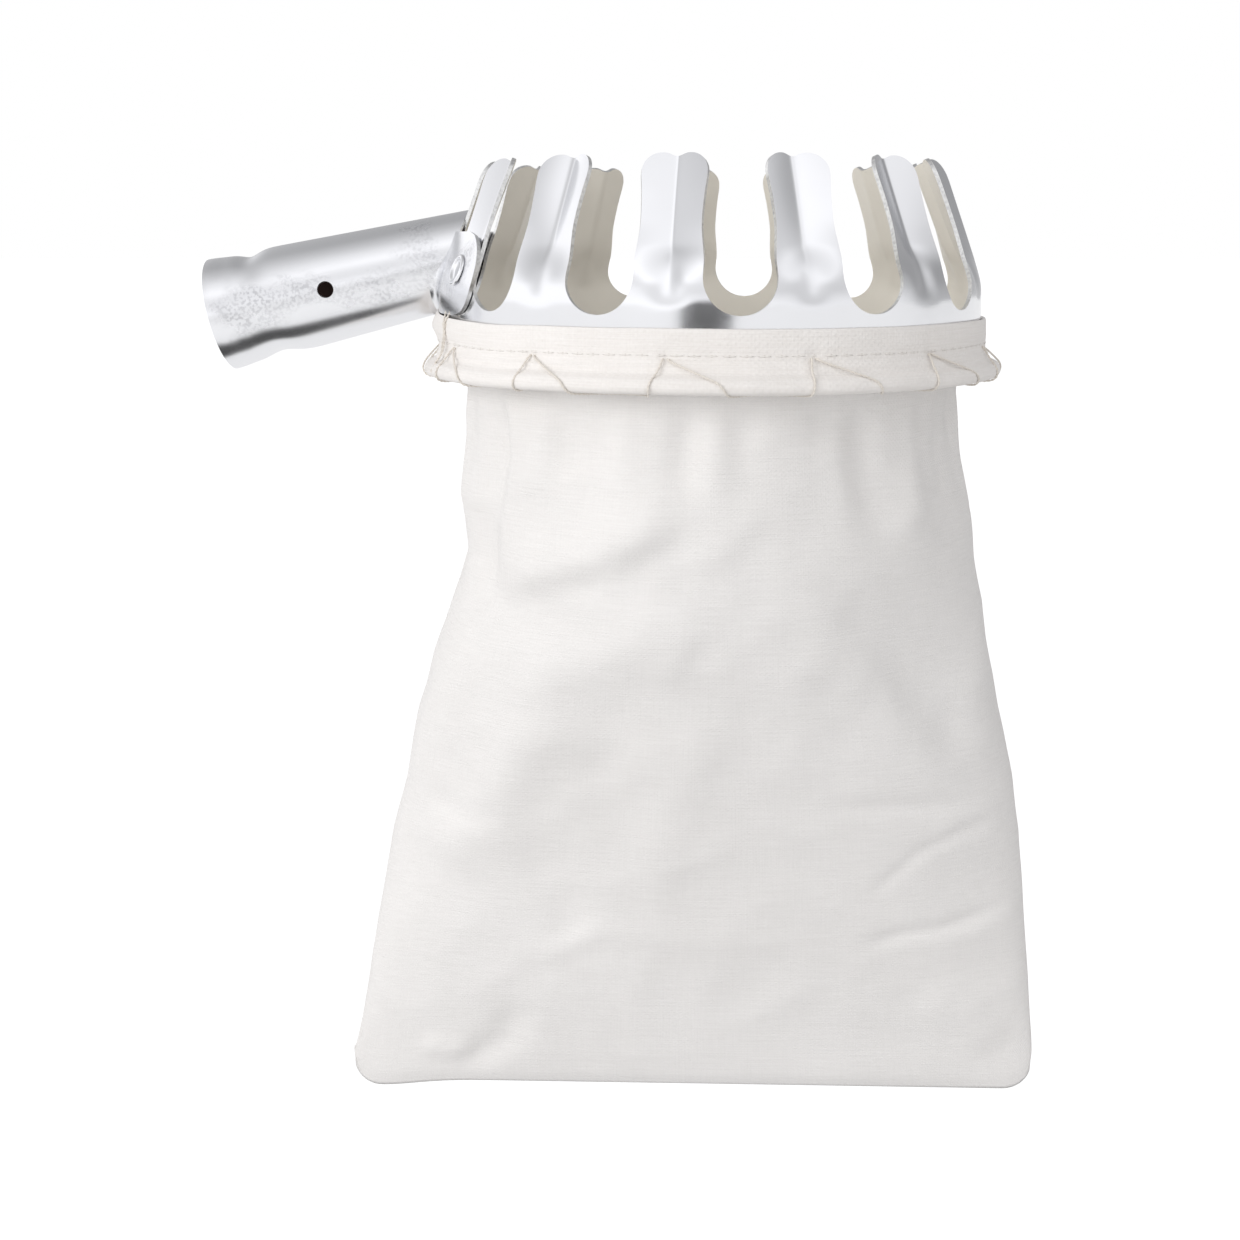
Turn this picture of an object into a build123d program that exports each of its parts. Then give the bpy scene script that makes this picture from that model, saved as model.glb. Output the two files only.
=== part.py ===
from build123d import *
import math
import os

# Fruit picker basket: a stamped crown of fingers on a pole socket, with a cotton bag laced below.
# The origin is the centre of the pole socket's mouth. +Z is up along the crown's axis, and the
# socket points to -X. Lengths are in millimetres and angles in degrees.

# ---- driving dimensions -------------------------------------------------------------------
# Crown. Its heights are measured from the bottoms of the finger slots, along the crown's axis.
crown_x = 134.7  # crown axis, from the socket's mouth
slot_z = 3.0  # bottoms of the finger slots, above the socket's mouth
steel = 1.0  # sheet thickness
finger_count = 13
pitch = 360 / finger_count
band_radius = 72.0  # outside of the upright band
flange_radius = 76.2
flange_low = -16.5  # underside of the out-turned flange
slot_radius = 9.0  # round bottom of each slot between two fingers
bend_level = 6.0  # the fingers lean inwards above this
lean = 20.2
crease_start = 12.5  # the fingers are folded to a shallow V above this
crease_depth = 4.6  # depth of that V at the tips
tip_level = 39.0
waist_level = 22.0
waist_half_width = 7.4  # a finger is narrowest at its waist
flare = 0.9  # and this much wider on each side at its ends
lobe_radius = 4.4  # the two rounded lobes of a tip
lobe_level = 33.9

# Pole socket, measured along its own axis from the mouth.
tilt = 12.7  # the socket drops outwards by this
socket_sheet = 1.1
mouth_radius = 14.0  # bore for the pole
mouth_length = 8.0
end_radius = 12.1  # outside of the tapered end, at the crown
socket_length = 78.0  # before its end is shaped to the crown
screw_along = 32.8
screw_radius = 2.2
ear_low, ear_high = -1.6, 19.4
ear_gap = 0.15  # between the ears and the crown
ear_reach = 36.0  # azimuth of an ear's rounded free end, from the socket's side
rivet_level = 9.3
rivet_shank, rivet_head, rivet_tail = 2.0, 4.2, 3.2
head_seat, tail_seat = 1.25, 1.7  # undersides of a rivet's head and tail, from the crown's outside
rivet_head_height, rivet_tail_height = 1.2, 0.9
rivet_dimple, rivet_dimple_depth = 2.3, 0.8
hole_play = 0.05

# Cotton bag and its hem.
cloth = 1.2  # two thicknesses of cotton
lay = 0.06  # between the cloth and the steel
hem_top = -3.0
neck_radius = 66.0
neck_low = -60.0
panel_gap = 0.6  # between the fixed neck and the swinging panels
bag_low = -229.0
bottom_seam_height = 2.5
bag_half_width = 99.5
seam_allowance = 8.0
seam_thickness = 1.6
seam_play = 0.3
corner_radius = 6.0
# Level, half width and half depth of the bag, from its round mouth to its flat bottom.
bag_sections = (
    (neck_low - panel_gap, 69.0, 67.9),
    (-90.0, 75.8, 57.0),
    (-130.0, 86.0, 41.0),
    (-175.0, 94.0, 25.5),
    (-210.0, 98.2, 11.5),
    (bag_low, bag_half_width, 2.4),
)

# Lacing.
thread = 0.8
eyelet_level = -9.8
eyelet_radius = 1.7
stitch_turn = 11.0  # azimuth that a slanting stitch covers
strand_offset = 0.45  # two strands share each hole, this far from its centre
strand_gap = 0.55  # from the cloth to the middle of a strand
hem_hole_radius = 1.2
knot_azimuth, knot_level, knot_radius = 203.5, -4.4, 1.3

crown_axis = Axis((crown_x, 0, 0), (0, 0, 1))
socket_axis = Axis((0, 0, 0), (math.cos(math.radians(tilt)), 0, math.sin(math.radians(tilt))))
finger_azimuths = [180 + pitch * i for i in range(finger_count)]
ear_sides = {"front": 1, "back": -1}


# ---- places ---------------------------------------------------------------------------------
def level(height):
    """Horizontal plane on the crown's axis."""
    return Plane((crown_x, 0, slot_z + height))


def radial_section(azimuth=0.0):
    """Upright plane through the crown's axis: local x runs outwards, local y up."""
    turn = math.radians(azimuth)
    return Plane(
        origin=(crown_x, 0, slot_z),
        x_dir=(math.cos(turn), math.sin(turn), 0),
        z_dir=(math.sin(turn), -math.cos(turn), 0),
    )


def crown_point(radius, azimuth, height):
    """Point given by its radius, azimuth and height on the crown."""
    turn = math.radians(azimuth)
    return Vector(crown_x + radius * math.cos(turn), radius * math.sin(turn), slot_z + height)


def outward_plane(radius, azimuth, height, rise=0.0):
    """Plane that faces outwards from the crown, its normal raised by an angle."""
    turn, up = math.radians(azimuth), math.radians(rise)
    return Plane(
        origin=crown_point(radius, azimuth, height),
        x_dir=(-math.sin(turn), math.cos(turn), 0),
        z_dir=(math.cos(turn) * math.cos(up), math.sin(turn) * math.cos(up), math.sin(up)),
    )


def leaning_radius(height):
    """Outside radius of the crown, upright below the bend and leaning in above it."""
    return band_radius - max(0.0, height - bend_level) * math.tan(math.radians(lean))


def leaning_profile(near, far, low, high):
    """Closed outline between two offsets from the crown's outside, in a radial section."""
    levels = (low, bend_level, high)
    outside = [(leaning_radius(h) + far, h) for h in levels]
    inside = [(leaning_radius(h) + near, h) for h in reversed(levels)]
    return outside + inside


def rivet_plane(side):
    """Plane on the outside of the crown where a rivet goes through."""
    azimuth = 180 + side * pitch
    return outward_plane(leaning_radius(rivet_level), azimuth, rivet_level, lean)


socket_section = Plane.XZ.rotated((0, -tilt, 0))  # local x runs up the socket's axis


# ---- crown ----------------------------------------------------------------------------------
with BuildPart() as finger:  # one finger, about the Z axis, pointing to +X
    for height in (bend_level - 1, crease_start, waist_level, tip_level):
        rise = max(0.0, height - crease_start) / (tip_level - crease_start)
        half = waist_half_width + flare * ((height - waist_level) / (tip_level - waist_level)) ** 2
        edge = math.sqrt(leaning_radius(height) ** 2 - half**2)
        fold = edge + 0.3 - crease_depth * math.sqrt(rise)
        with BuildSketch(Plane.XY.offset(height)):
            with BuildLine():
                Polyline(
                    (edge, half),
                    (fold, 0),
                    (edge, -half),
                    (edge - steel, -half),
                    (fold - steel, 0),
                    (edge - steel, half),
                    close=True,
                )
            make_face()
    loft(ruled=True)
    with BuildSketch(Plane.YZ.offset(band_radius - 30)):
        with Locations((0, lobe_level / 2)):
            Rectangle(2.5 * waist_half_width, lobe_level)
        with Locations((lobe_radius - 0.4, lobe_level), (0.4 - lobe_radius, lobe_level)):
            Circle(lobe_radius)
    extrude(amount=40, mode=Mode.INTERSECT)

with BuildPart() as crown:
    with BuildSketch(radial_section()):
        with BuildLine():
            Polyline(
                (band_radius - steel, flange_low),
                (flange_radius, flange_low),
                (flange_radius, flange_low + steel),
                (band_radius, flange_low + steel),
                (band_radius, bend_level),
                (leaning_radius(slot_radius), slot_radius),
                (leaning_radius(slot_radius) - steel, slot_radius),
                (band_radius - steel, bend_level),
                close=True,
            )
        make_face()
    revolve(axis=crown_axis)
    for azimuth in finger_azimuths:
        with BuildSketch(outward_plane(band_radius - 4, azimuth + pitch / 2, slot_radius)):
            Circle(slot_radius)
        extrude(amount=8, mode=Mode.SUBTRACT)
    with Locations(level(0)):
        for azimuth in finger_azimuths:
            add(finger.part, rotation=(0, 0, azimuth))
    for azimuth in finger_azimuths:
        with BuildSketch(outward_plane(band_radius - 4, azimuth, eyelet_level)):
            Circle(eyelet_radius)
        extrude(amount=8, mode=Mode.SUBTRACT)
    for side in ear_sides.values():
        with BuildSketch(rivet_plane(side)):
            Circle(rivet_shank + hole_play)
        extrude(amount=3, both=True, mode=Mode.SUBTRACT)
crown.part.label = "crown"

# ---- pole socket, with an ear on each side ------------------------------------------------------
with BuildPart() as crown_room:  # the space that the crown takes, for shaping the socket's end
    with BuildSketch(radial_section()):
        with BuildLine():
            outside = [(leaning_radius(h) + ear_gap, h) for h in (-30.0, bend_level, tip_level)]
            Polyline((0, -30.0), *outside, (0, tip_level), close=True)
        make_face()
    revolve(axis=crown_axis)

ears = []
for side in ear_sides.values():
    with BuildPart() as ear:
        with BuildSketch(radial_section(180)):
            with BuildLine():
                Polyline(*leaning_profile(ear_gap, ear_gap + socket_sheet, ear_low, ear_high), close=True)
            make_face()
        revolve(axis=crown_axis, revolution_arc=side * ear_reach)
        height = ear_high - ear_low
        with BuildSketch(outward_plane(band_radius - 14, 180 + side * pitch, (ear_low + ear_high) / 2)):
            with Locations((-side * height, 0)):
                Rectangle(2 * height, height)
            Circle(height / 2)
        extrude(amount=24, mode=Mode.INTERSECT)
        with BuildSketch(rivet_plane(side)):
            Circle(rivet_shank + hole_play)
        extrude(amount=3, both=True, mode=Mode.SUBTRACT)
    ears.append(ear.part)

with BuildPart() as socket:
    for wall, mode in ((socket_sheet, Mode.ADD), (0, Mode.SUBTRACT)):
        with BuildSketch(socket_section):
            with BuildLine():
                Polyline(
                    (0, 0),
                    (0, mouth_radius + wall),
                    (mouth_length, mouth_radius + wall),
                    (socket_length, end_radius - socket_sheet + wall),
                    (socket_length, 0),
                    close=True,
                )
            make_face()
        revolve(axis=socket_axis, mode=mode)
        if mode == Mode.ADD:
            add(crown_room.part, mode=Mode.SUBTRACT)
            add(ears)
    with BuildSketch(socket_section):
        with Locations((screw_along, 0)):
            Circle(screw_radius)
    extrude(amount=mouth_radius + 5, mode=Mode.SUBTRACT)
socket.part.label = "socket"

# ---- rivets through the ears --------------------------------------------------------------------
rivets = {}
for name, side in ear_sides.items():
    with BuildPart() as rivet:
        place = rivet_plane(side)
        with BuildSketch(place.offset(-tail_seat)):
            Circle(rivet_shank)
        extrude(amount=tail_seat + head_seat)
        with BuildSketch(place.offset(head_seat)):
            Circle(rivet_head)
        extrude(amount=rivet_head_height)
        with BuildSketch(place.offset(-tail_seat)):
            Circle(rivet_tail)
        extrude(amount=-rivet_tail_height)
        with BuildSketch(place.offset(head_seat + rivet_head_height)):
            Circle(rivet_dimple)
        extrude(amount=-rivet_dimple_depth, mode=Mode.SUBTRACT)
    rivet.part.label = f"rivet_{name}"
    rivets[rivet.part.label] = rivet.part

# ---- hem, folded over the band and the flange ---------------------------------------------------
hem_offset = lay + cloth / 2
with BuildPart() as hem:
    with BuildSketch(radial_section()):
        with BuildLine():
            Polyline(
                (band_radius + hem_offset, hem_top),
                (band_radius + hem_offset, flange_low + steel + hem_offset),
                (flange_radius + hem_offset, flange_low + steel + hem_offset),
                (flange_radius + hem_offset, flange_low - hem_offset),
                (neck_radius - cloth, flange_low - hem_offset),
            )
        trace(line_width=cloth)
    revolve(axis=crown_axis)
    for azimuth in finger_azimuths:
        with BuildSketch(outward_plane(band_radius, azimuth, eyelet_level)):
            Circle(hem_hole_radius)
        extrude(amount=4, mode=Mode.SUBTRACT)
hem.part.label = "hem"

# ---- cotton bag -----------------------------------------------------------------------------------
neck_top = flange_low - lay - cloth
with BuildPart() as bag_neck:
    with BuildSketch(level(neck_low)):
        Circle(neck_radius)
        Circle(neck_radius - cloth, mode=Mode.SUBTRACT)
    extrude(amount=neck_top - neck_low)
bag_neck.part.label = "bag_neck"


def bag_room(width_inset, depth_inset):
    """Solid through all the bag's sections, each made smaller by the insets."""
    with BuildPart() as room:
        for height, half_width, half_depth in bag_sections:
            with BuildSketch(level(height)):
                Ellipse(half_width - width_inset, half_depth - depth_inset)
        loft()
    return room.part


with BuildPart() as bag_outline:  # side view of the bag's lower corners
    with BuildSketch(radial_section()):
        RectangleRounded(2 * bag_half_width, 2 * (bottom_seam_height - bag_low), corner_radius)
    extrude(amount=neck_radius + 5, both=True)

with BuildPart() as bag_cloth:
    add(bag_room(0, 0))
    add(bag_room(cloth, cloth), mode=Mode.SUBTRACT)
    add(bag_outline.part, mode=Mode.INTERSECT)

panels = {}
for name, keep in (("front_panel", Keep.TOP), ("back_panel", Keep.BOTTOM)):
    with BuildPart() as panel:
        add(bag_cloth.part)
        split(bisect_by=radial_section(), keep=keep)
    panel.part.label = name
    panels[name] = panel.part

seams = {}
with BuildPart() as both_side_seams:
    add(bag_room(cloth + seam_play, cloth + seam_play))
    add(bag_room(cloth + seam_allowance, cloth), mode=Mode.SUBTRACT)
    with BuildSketch(level(bag_low + bottom_seam_height)):
        Rectangle(4 * bag_half_width, seam_thickness)
    extrude(amount=neck_low - bag_low - 4 * bottom_seam_height, mode=Mode.INTERSECT)
for name, keep in (("side_seam_right", Keep.TOP), ("side_seam_left", Keep.BOTTOM)):
    with BuildPart() as seam:
        add(both_side_seams.part)
        split(bisect_by=Plane.YZ.offset(crown_x), keep=keep)
    seam.part.label = name
    seams[name] = seam.part

with BuildPart() as bottom_seam:
    with BuildSketch(level(bag_low)):
        Rectangle(2 * bag_half_width, 2 * cloth)
    extrude(amount=-bottom_seam_height)
    add(bag_outline.part, mode=Mode.INTERSECT)
bottom_seam.part.label = "bottom_seam"


# ---- lacing: one stitch from each eyelet to the next, over and under the flange -------------------
def thread_run(points, radius):
    """Round thread along straight runs joined by arcs."""
    with BuildPart() as run:
        with BuildLine() as route:
            FilletPolyline(*points, radius=radius)
        with BuildSketch(Plane(origin=route.line @ 0, z_dir=route.line % 0)):
            Circle(thread / 2)
        sweep()
    return run.part


strand_turn = math.degrees(strand_offset / band_radius)
over = flange_low + steel + lay + cloth + strand_gap  # above the covered flange
under = flange_low - lay - cloth - strand_gap
beside = flange_radius + lay + cloth + strand_gap
with BuildPart() as lacing_thread:
    for azimuth in finger_azimuths:
        following = azimuth + pitch
        add(
            thread_run(
                [
                    crown_point(band_radius - 2.5, azimuth + strand_turn, eyelet_level),
                    crown_point(band_radius + 2.4, azimuth + strand_turn, eyelet_level),
                    crown_point(beside, azimuth + stitch_turn, over),
                    crown_point(beside, azimuth + stitch_turn, under),
                    crown_point(beside - 3.4, azimuth + stitch_turn + 2, under),
                    crown_point(beside - 3.4, following - 2.4, under),
                    crown_point(beside, following - strand_turn, under),
                    crown_point(beside, following - strand_turn, over),
                    crown_point(band_radius + 2.4, following - strand_turn, eyelet_level),
                    crown_point(band_radius - 2.5, following - strand_turn, eyelet_level),
                ],
                thread,
            )
        )
lacing_thread.part.label = "lacing_thread"

# ---- knot that ties the lacing off beside the socket ----------------------------------------------
knot_place = crown_point(band_radius + 2.9, knot_azimuth, knot_level)
tails = [
    [knot_place, crown_point(76.4, knot_azimuth - 2, -7), crown_point(78.4, knot_azimuth - 3, -12)],
    [knot_place, crown_point(77.4, knot_azimuth + 2, -6), crown_point(79.0, knot_azimuth + 4, -10)],
]
with BuildPart() as tie_knot:
    with Locations(knot_place):
        Sphere(knot_radius)
    for tail in tails:
        add(thread_run(tail, 2 * thread))
tie_knot.part.label = "tie_knot"

# ---- files ----------------------------------------------------------------------------------------
os.makedirs("parts", exist_ok=True)
pieces = [crown, socket, hem, bag_neck, bottom_seam, lacing_thread, tie_knot]
named = {piece.part.label: piece.part for piece in pieces} | rivets | panels | seams
for name, solid in named.items():
    export_step(solid, f"parts/{name}.step")
    print(f"{name:16s} solids {len(solid.solids())}  volume {solid.volume:9.1f}")
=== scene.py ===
"""Fruit picker basket: the visible model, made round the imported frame.

A stamped ring of steel fingers on a tapered pole socket, with a cotton bag
laced to the ring. Every length is in metres unless a name says otherwise.
"""

import logging
import math
from dataclasses import dataclass, field
from enum import Enum

import bmesh
import bpy
import numpy as np
from mathutils import Matrix, Vector, noise


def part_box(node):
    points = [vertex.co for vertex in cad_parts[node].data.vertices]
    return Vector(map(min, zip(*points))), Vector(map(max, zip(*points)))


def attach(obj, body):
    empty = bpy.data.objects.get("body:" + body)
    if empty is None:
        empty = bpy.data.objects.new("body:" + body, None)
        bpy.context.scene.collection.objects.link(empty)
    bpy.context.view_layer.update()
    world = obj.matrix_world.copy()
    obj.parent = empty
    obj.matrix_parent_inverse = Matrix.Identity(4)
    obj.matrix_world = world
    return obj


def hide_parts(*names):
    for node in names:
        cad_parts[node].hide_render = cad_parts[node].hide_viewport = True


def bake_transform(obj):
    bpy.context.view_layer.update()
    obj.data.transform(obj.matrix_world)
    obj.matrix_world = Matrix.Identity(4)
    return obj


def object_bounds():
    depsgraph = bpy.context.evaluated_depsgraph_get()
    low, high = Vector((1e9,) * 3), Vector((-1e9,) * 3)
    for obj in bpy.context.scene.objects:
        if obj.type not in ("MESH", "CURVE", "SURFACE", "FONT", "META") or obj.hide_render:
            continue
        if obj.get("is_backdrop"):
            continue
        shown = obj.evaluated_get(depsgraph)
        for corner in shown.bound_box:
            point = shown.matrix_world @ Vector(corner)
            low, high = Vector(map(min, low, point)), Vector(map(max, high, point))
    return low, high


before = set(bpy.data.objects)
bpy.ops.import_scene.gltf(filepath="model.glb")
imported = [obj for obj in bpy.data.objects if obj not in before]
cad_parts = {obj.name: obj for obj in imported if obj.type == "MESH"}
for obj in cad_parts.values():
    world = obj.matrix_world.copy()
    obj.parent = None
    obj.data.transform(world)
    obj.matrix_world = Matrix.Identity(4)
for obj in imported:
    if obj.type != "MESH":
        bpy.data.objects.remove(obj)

LOG = logging.getLogger("fruit_picker")
MM = 0.001
SHARP_ANGLE = math.radians(42)
BLACK, WHITE = (0, 0, 0, 1), (1, 1, 1, 1)


class Body(Enum):
    """The bodies that the pieces ride on."""

    HEAD = "head"
    BAG = "bag"


class Slot(Enum):
    """Names of material slots, which no piece here is given."""

    SHEET = "galvanised_sheet"
    RIVET = "rivet_steel"
    HEM = "hem_cotton"
    BAG = "bag_cotton"
    LACING = "lacing_cotton"


# ---------------------------------------------------------------- node helpers


class Nodes:
    """Writes a material's node tree one node at a time."""

    def __init__(self, name: str) -> None:
        """Starts an empty tree with its output and its main shader.

        Args:
            name: the material's name.
        """
        self.material = bpy.data.materials.new(name)
        self.material.use_nodes = True
        self.tree = self.material.node_tree
        self.tree.nodes.clear()
        self.output = self.tree.nodes.new("ShaderNodeOutputMaterial")
        self.shader = self.add("ShaderNodeBsdfPrincipled")
        self.join(self.shader.outputs[0], self.output.inputs["Surface"])

    def add(self, kind: str, **settings: object) -> bpy.types.Node:
        """Adds a node.

        Args:
            kind: the node's type name.
            settings: attributes, or input values by name with spaces as underscores.

        Returns:
            The new node.
        """
        node = self.tree.nodes.new(kind)
        for name, value in settings.items():
            if hasattr(node, name):
                setattr(node, name, value)
            else:
                node.inputs[name.replace("_", " ")].default_value = value
        return node

    def join(self, source: bpy.types.NodeSocket, target: bpy.types.NodeSocket) -> None:
        """Links one socket to another."""
        self.tree.links.new(source, target)

    def coordinates(
        self, scale: tuple[float, float, float] = (1.0, 1.0, 1.0), uv: bool = False
    ) -> bpy.types.NodeSocket:
        """Gives scaled Object or UV coordinates.

        Args:
            scale: how much to scale each axis.
            uv: True for the piece's own UV map.

        Returns:
            The vector socket.
        """
        place = self.add("ShaderNodeTexCoord")
        mapping = self.add("ShaderNodeMapping", Scale=scale)
        self.join(place.outputs["UV" if uv else "Object"], mapping.inputs["Vector"])
        return mapping.outputs["Vector"]

    def noise(self, where: bpy.types.NodeSocket, scale: float, detail: float = 3.0) -> bpy.types.NodeSocket:
        """Gives a noise value.

        Args:
            where: the coordinates.
            scale: the noise's scale.
            detail: how many finer layers it has.

        Returns:
            The value socket.
        """
        node = self.add("ShaderNodeTexNoise", Scale=scale, Detail=detail)
        self.join(where, node.inputs["Vector"])
        return node.outputs[0]

    def ramp(self, value: bpy.types.NodeSocket, stops: list[tuple[float, tuple]]) -> bpy.types.NodeSocket:
        """Maps a value through a colour ramp.

        Args:
            value: the socket to map.
            stops: position and colour of each stop.

        Returns:
            The colour socket.
        """
        node = self.add("ShaderNodeValToRGB")
        while len(node.color_ramp.elements) < len(stops):
            node.color_ramp.elements.new(0.5)
        for element, (position, colour) in zip(node.color_ramp.elements, stops):
            element.position = position
            element.color = colour
        self.join(value, node.inputs[0])
        return node.outputs[0]

    def span(self, value: bpy.types.NodeSocket, low: float, high: float) -> bpy.types.NodeSocket:
        """Maps a value from 0 to 1 onto low to high.

        Args:
            value: the socket to map.
            low: the result at 0.
            high: the result at 1.

        Returns:
            The mapped socket.
        """
        node = self.add("ShaderNodeMapRange", To_Min=low, To_Max=high)
        self.join(value, node.inputs["Value"])
        return node.outputs[0]

    def math(self, operation: str, first: object, second: object = 0.0) -> bpy.types.NodeSocket:
        """Does arithmetic on two sockets or numbers.

        Args:
            operation: the Math node's operation.
            first: a socket or a number.
            second: a socket or a number.

        Returns:
            The result's socket.
        """
        node = self.add("ShaderNodeMath", operation=operation)
        for socket, value in zip(node.inputs, (first, second)):
            if isinstance(value, bpy.types.NodeSocket):
                self.join(value, socket)
            else:
                socket.default_value = value
        return node.outputs[0]

    def mix(self, share: object, first: object, second: object) -> bpy.types.NodeSocket:
        """Mixes two colours.

        Args:
            share: how much of the second, as a socket or a number.
            first: a colour or its socket.
            second: a colour or its socket.

        Returns:
            The mixed colour's socket.
        """
        node = self.add("ShaderNodeMix", data_type="RGBA")
        sockets = (node.inputs[0], node.inputs[6], node.inputs[7])
        for socket, value in zip(sockets, (share, first, second)):
            if isinstance(value, bpy.types.NodeSocket):
                self.join(value, socket)
            else:
                socket.default_value = value
        return node.outputs[2]

    def bump(self, height: bpy.types.NodeSocket, strength: float, distance: float) -> None:
        """Adds a bump to the shader's normal, over any bump that it has.

        Args:
            height: the height's socket.
            strength: the bump's strength.
            distance: the height in metres of a value of 1.
        """
        node = self.add("ShaderNodeBump", Strength=strength, Distance=distance)
        self.join(height, node.inputs["Height"])
        normal = self.shader.inputs["Normal"]
        if normal.is_linked:
            self.join(normal.links[0].from_socket, node.inputs["Normal"])
        self.join(node.outputs[0], normal)


class WorldNodes(Nodes):
    """The same writer for the world's tree."""

    def __init__(self, name: str) -> None:
        """Starts an empty tree with its output and makes the world the scene's.

        Args:
            name: the world's name.
        """
        world = bpy.data.worlds.new(name)
        world.use_nodes = True
        self.tree = world.node_tree
        self.tree.nodes.clear()
        self.output = self.tree.nodes.new("ShaderNodeOutputWorld")
        bpy.context.scene.world = world


# -------------------------------------------------------------------- finishes


@dataclass(frozen=True)
class GalvanisedSteel:
    """Bright zinc-plated sheet: smooth, with wiped streaks and sparkly scuffed patches."""

    name: str
    colour: tuple[float, float, float] = (0.87, 0.875, 0.895)
    scuff: tuple[float, float, float] = (0.42, 0.42, 0.44)
    smooth: float = 0.13
    rough: float = 0.20
    streaks: tuple[float, float, float] = (1.0, 1.0, 1.0)
    scuff_start: float = 0.62
    scuff_scale: float = 38.0
    cloud_scale: float = 30.0
    grain_scale: float = 240.0
    speckle_scale: float = 1100.0
    dents: float = 0.10

    def make(self) -> bpy.types.Material:
        """Builds the material and returns it."""
        n = Nodes(self.name)
        n.shader.inputs["Metallic"].default_value = 1.0
        where = n.coordinates()
        streaked = n.coordinates(self.streaks)
        broad = n.noise(where, self.cloud_scale, 2.0)
        scuffed = n.noise(streaked, self.scuff_scale, 4.0)
        speckle = n.noise(where, self.speckle_scale, 2.0)
        grain = n.noise(streaked, self.grain_scale, 3.0)
        patch = n.ramp(scuffed, [(self.scuff_start, BLACK), (self.scuff_start + 0.07, WHITE)])
        flecks = n.ramp(speckle, [(0.46, BLACK), (0.60, WHITE)])
        scuffs = n.math("MULTIPLY", patch, n.span(flecks, 0.15, 0.85))
        base = n.mix(n.math("MULTIPLY", scuffs, 0.7), (*self.colour, 1), (*self.scuff, 1))
        n.join(base, n.shader.inputs["Base Color"])
        rough = n.span(grain, self.smooth, self.rough)
        n.join(n.math("ADD", rough, n.math("MULTIPLY", patch, 0.10)), n.shader.inputs["Roughness"])
        n.bump(broad, self.dents, 0.0012)
        n.bump(n.math("MULTIPLY", speckle, patch), 0.25, 0.0002)
        return n.material


@dataclass(frozen=True)
class InnerFacePaintedLight:
    """An inner face of the sheet, flat and barely glossy, in a painted colour: a warm painted reflection of
    the cloth on the crown, and painted shade in the socket's bore.
    """

    name: str
    colour: tuple[float, float, float]
    metallic: float
    roughness: float = 0.5

    def make(self) -> bpy.types.Material:
        """Builds the material and returns it."""
        n = Nodes(self.name)
        n.shader.inputs["Metallic"].default_value = self.metallic
        where = n.coordinates()
        cloud = n.noise(where, 45.0, 2.0)
        lighter = tuple(min(1.0, 1.06 * c) for c in self.colour)
        darker = tuple(0.93 * c for c in self.colour)
        n.join(n.mix(cloud, (*darker, 1), (*lighter, 1)), n.shader.inputs["Base Color"])
        n.join(n.span(cloud, self.roughness - 0.05, self.roughness + 0.05), n.shader.inputs["Roughness"])
        n.bump(n.noise(where, 900.0, 2.0), 0.12, 0.0001)
        return n.material


@dataclass(frozen=True)
class ShearedEdge:
    """The cut edge of the sheet: brighter and brushed across."""

    name: str = "sheared_edge"
    colour: tuple[float, float, float] = (0.88, 0.88, 0.87)

    def make(self) -> bpy.types.Material:
        """Builds the material and returns it."""
        n = Nodes(self.name)
        n.shader.inputs["Metallic"].default_value = 1.0
        where = n.coordinates()
        grain = n.noise(where, 1400.0, 2.0)
        shade = n.ramp(grain, [(0.3, (0.66, 0.66, 0.66, 1)), (0.6, (*self.colour, 1))])
        n.join(shade, n.shader.inputs["Base Color"])
        n.join(n.span(grain, 0.25, 0.5), n.shader.inputs["Roughness"])
        n.bump(grain, 0.3, 0.0001)
        return n.material


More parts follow.
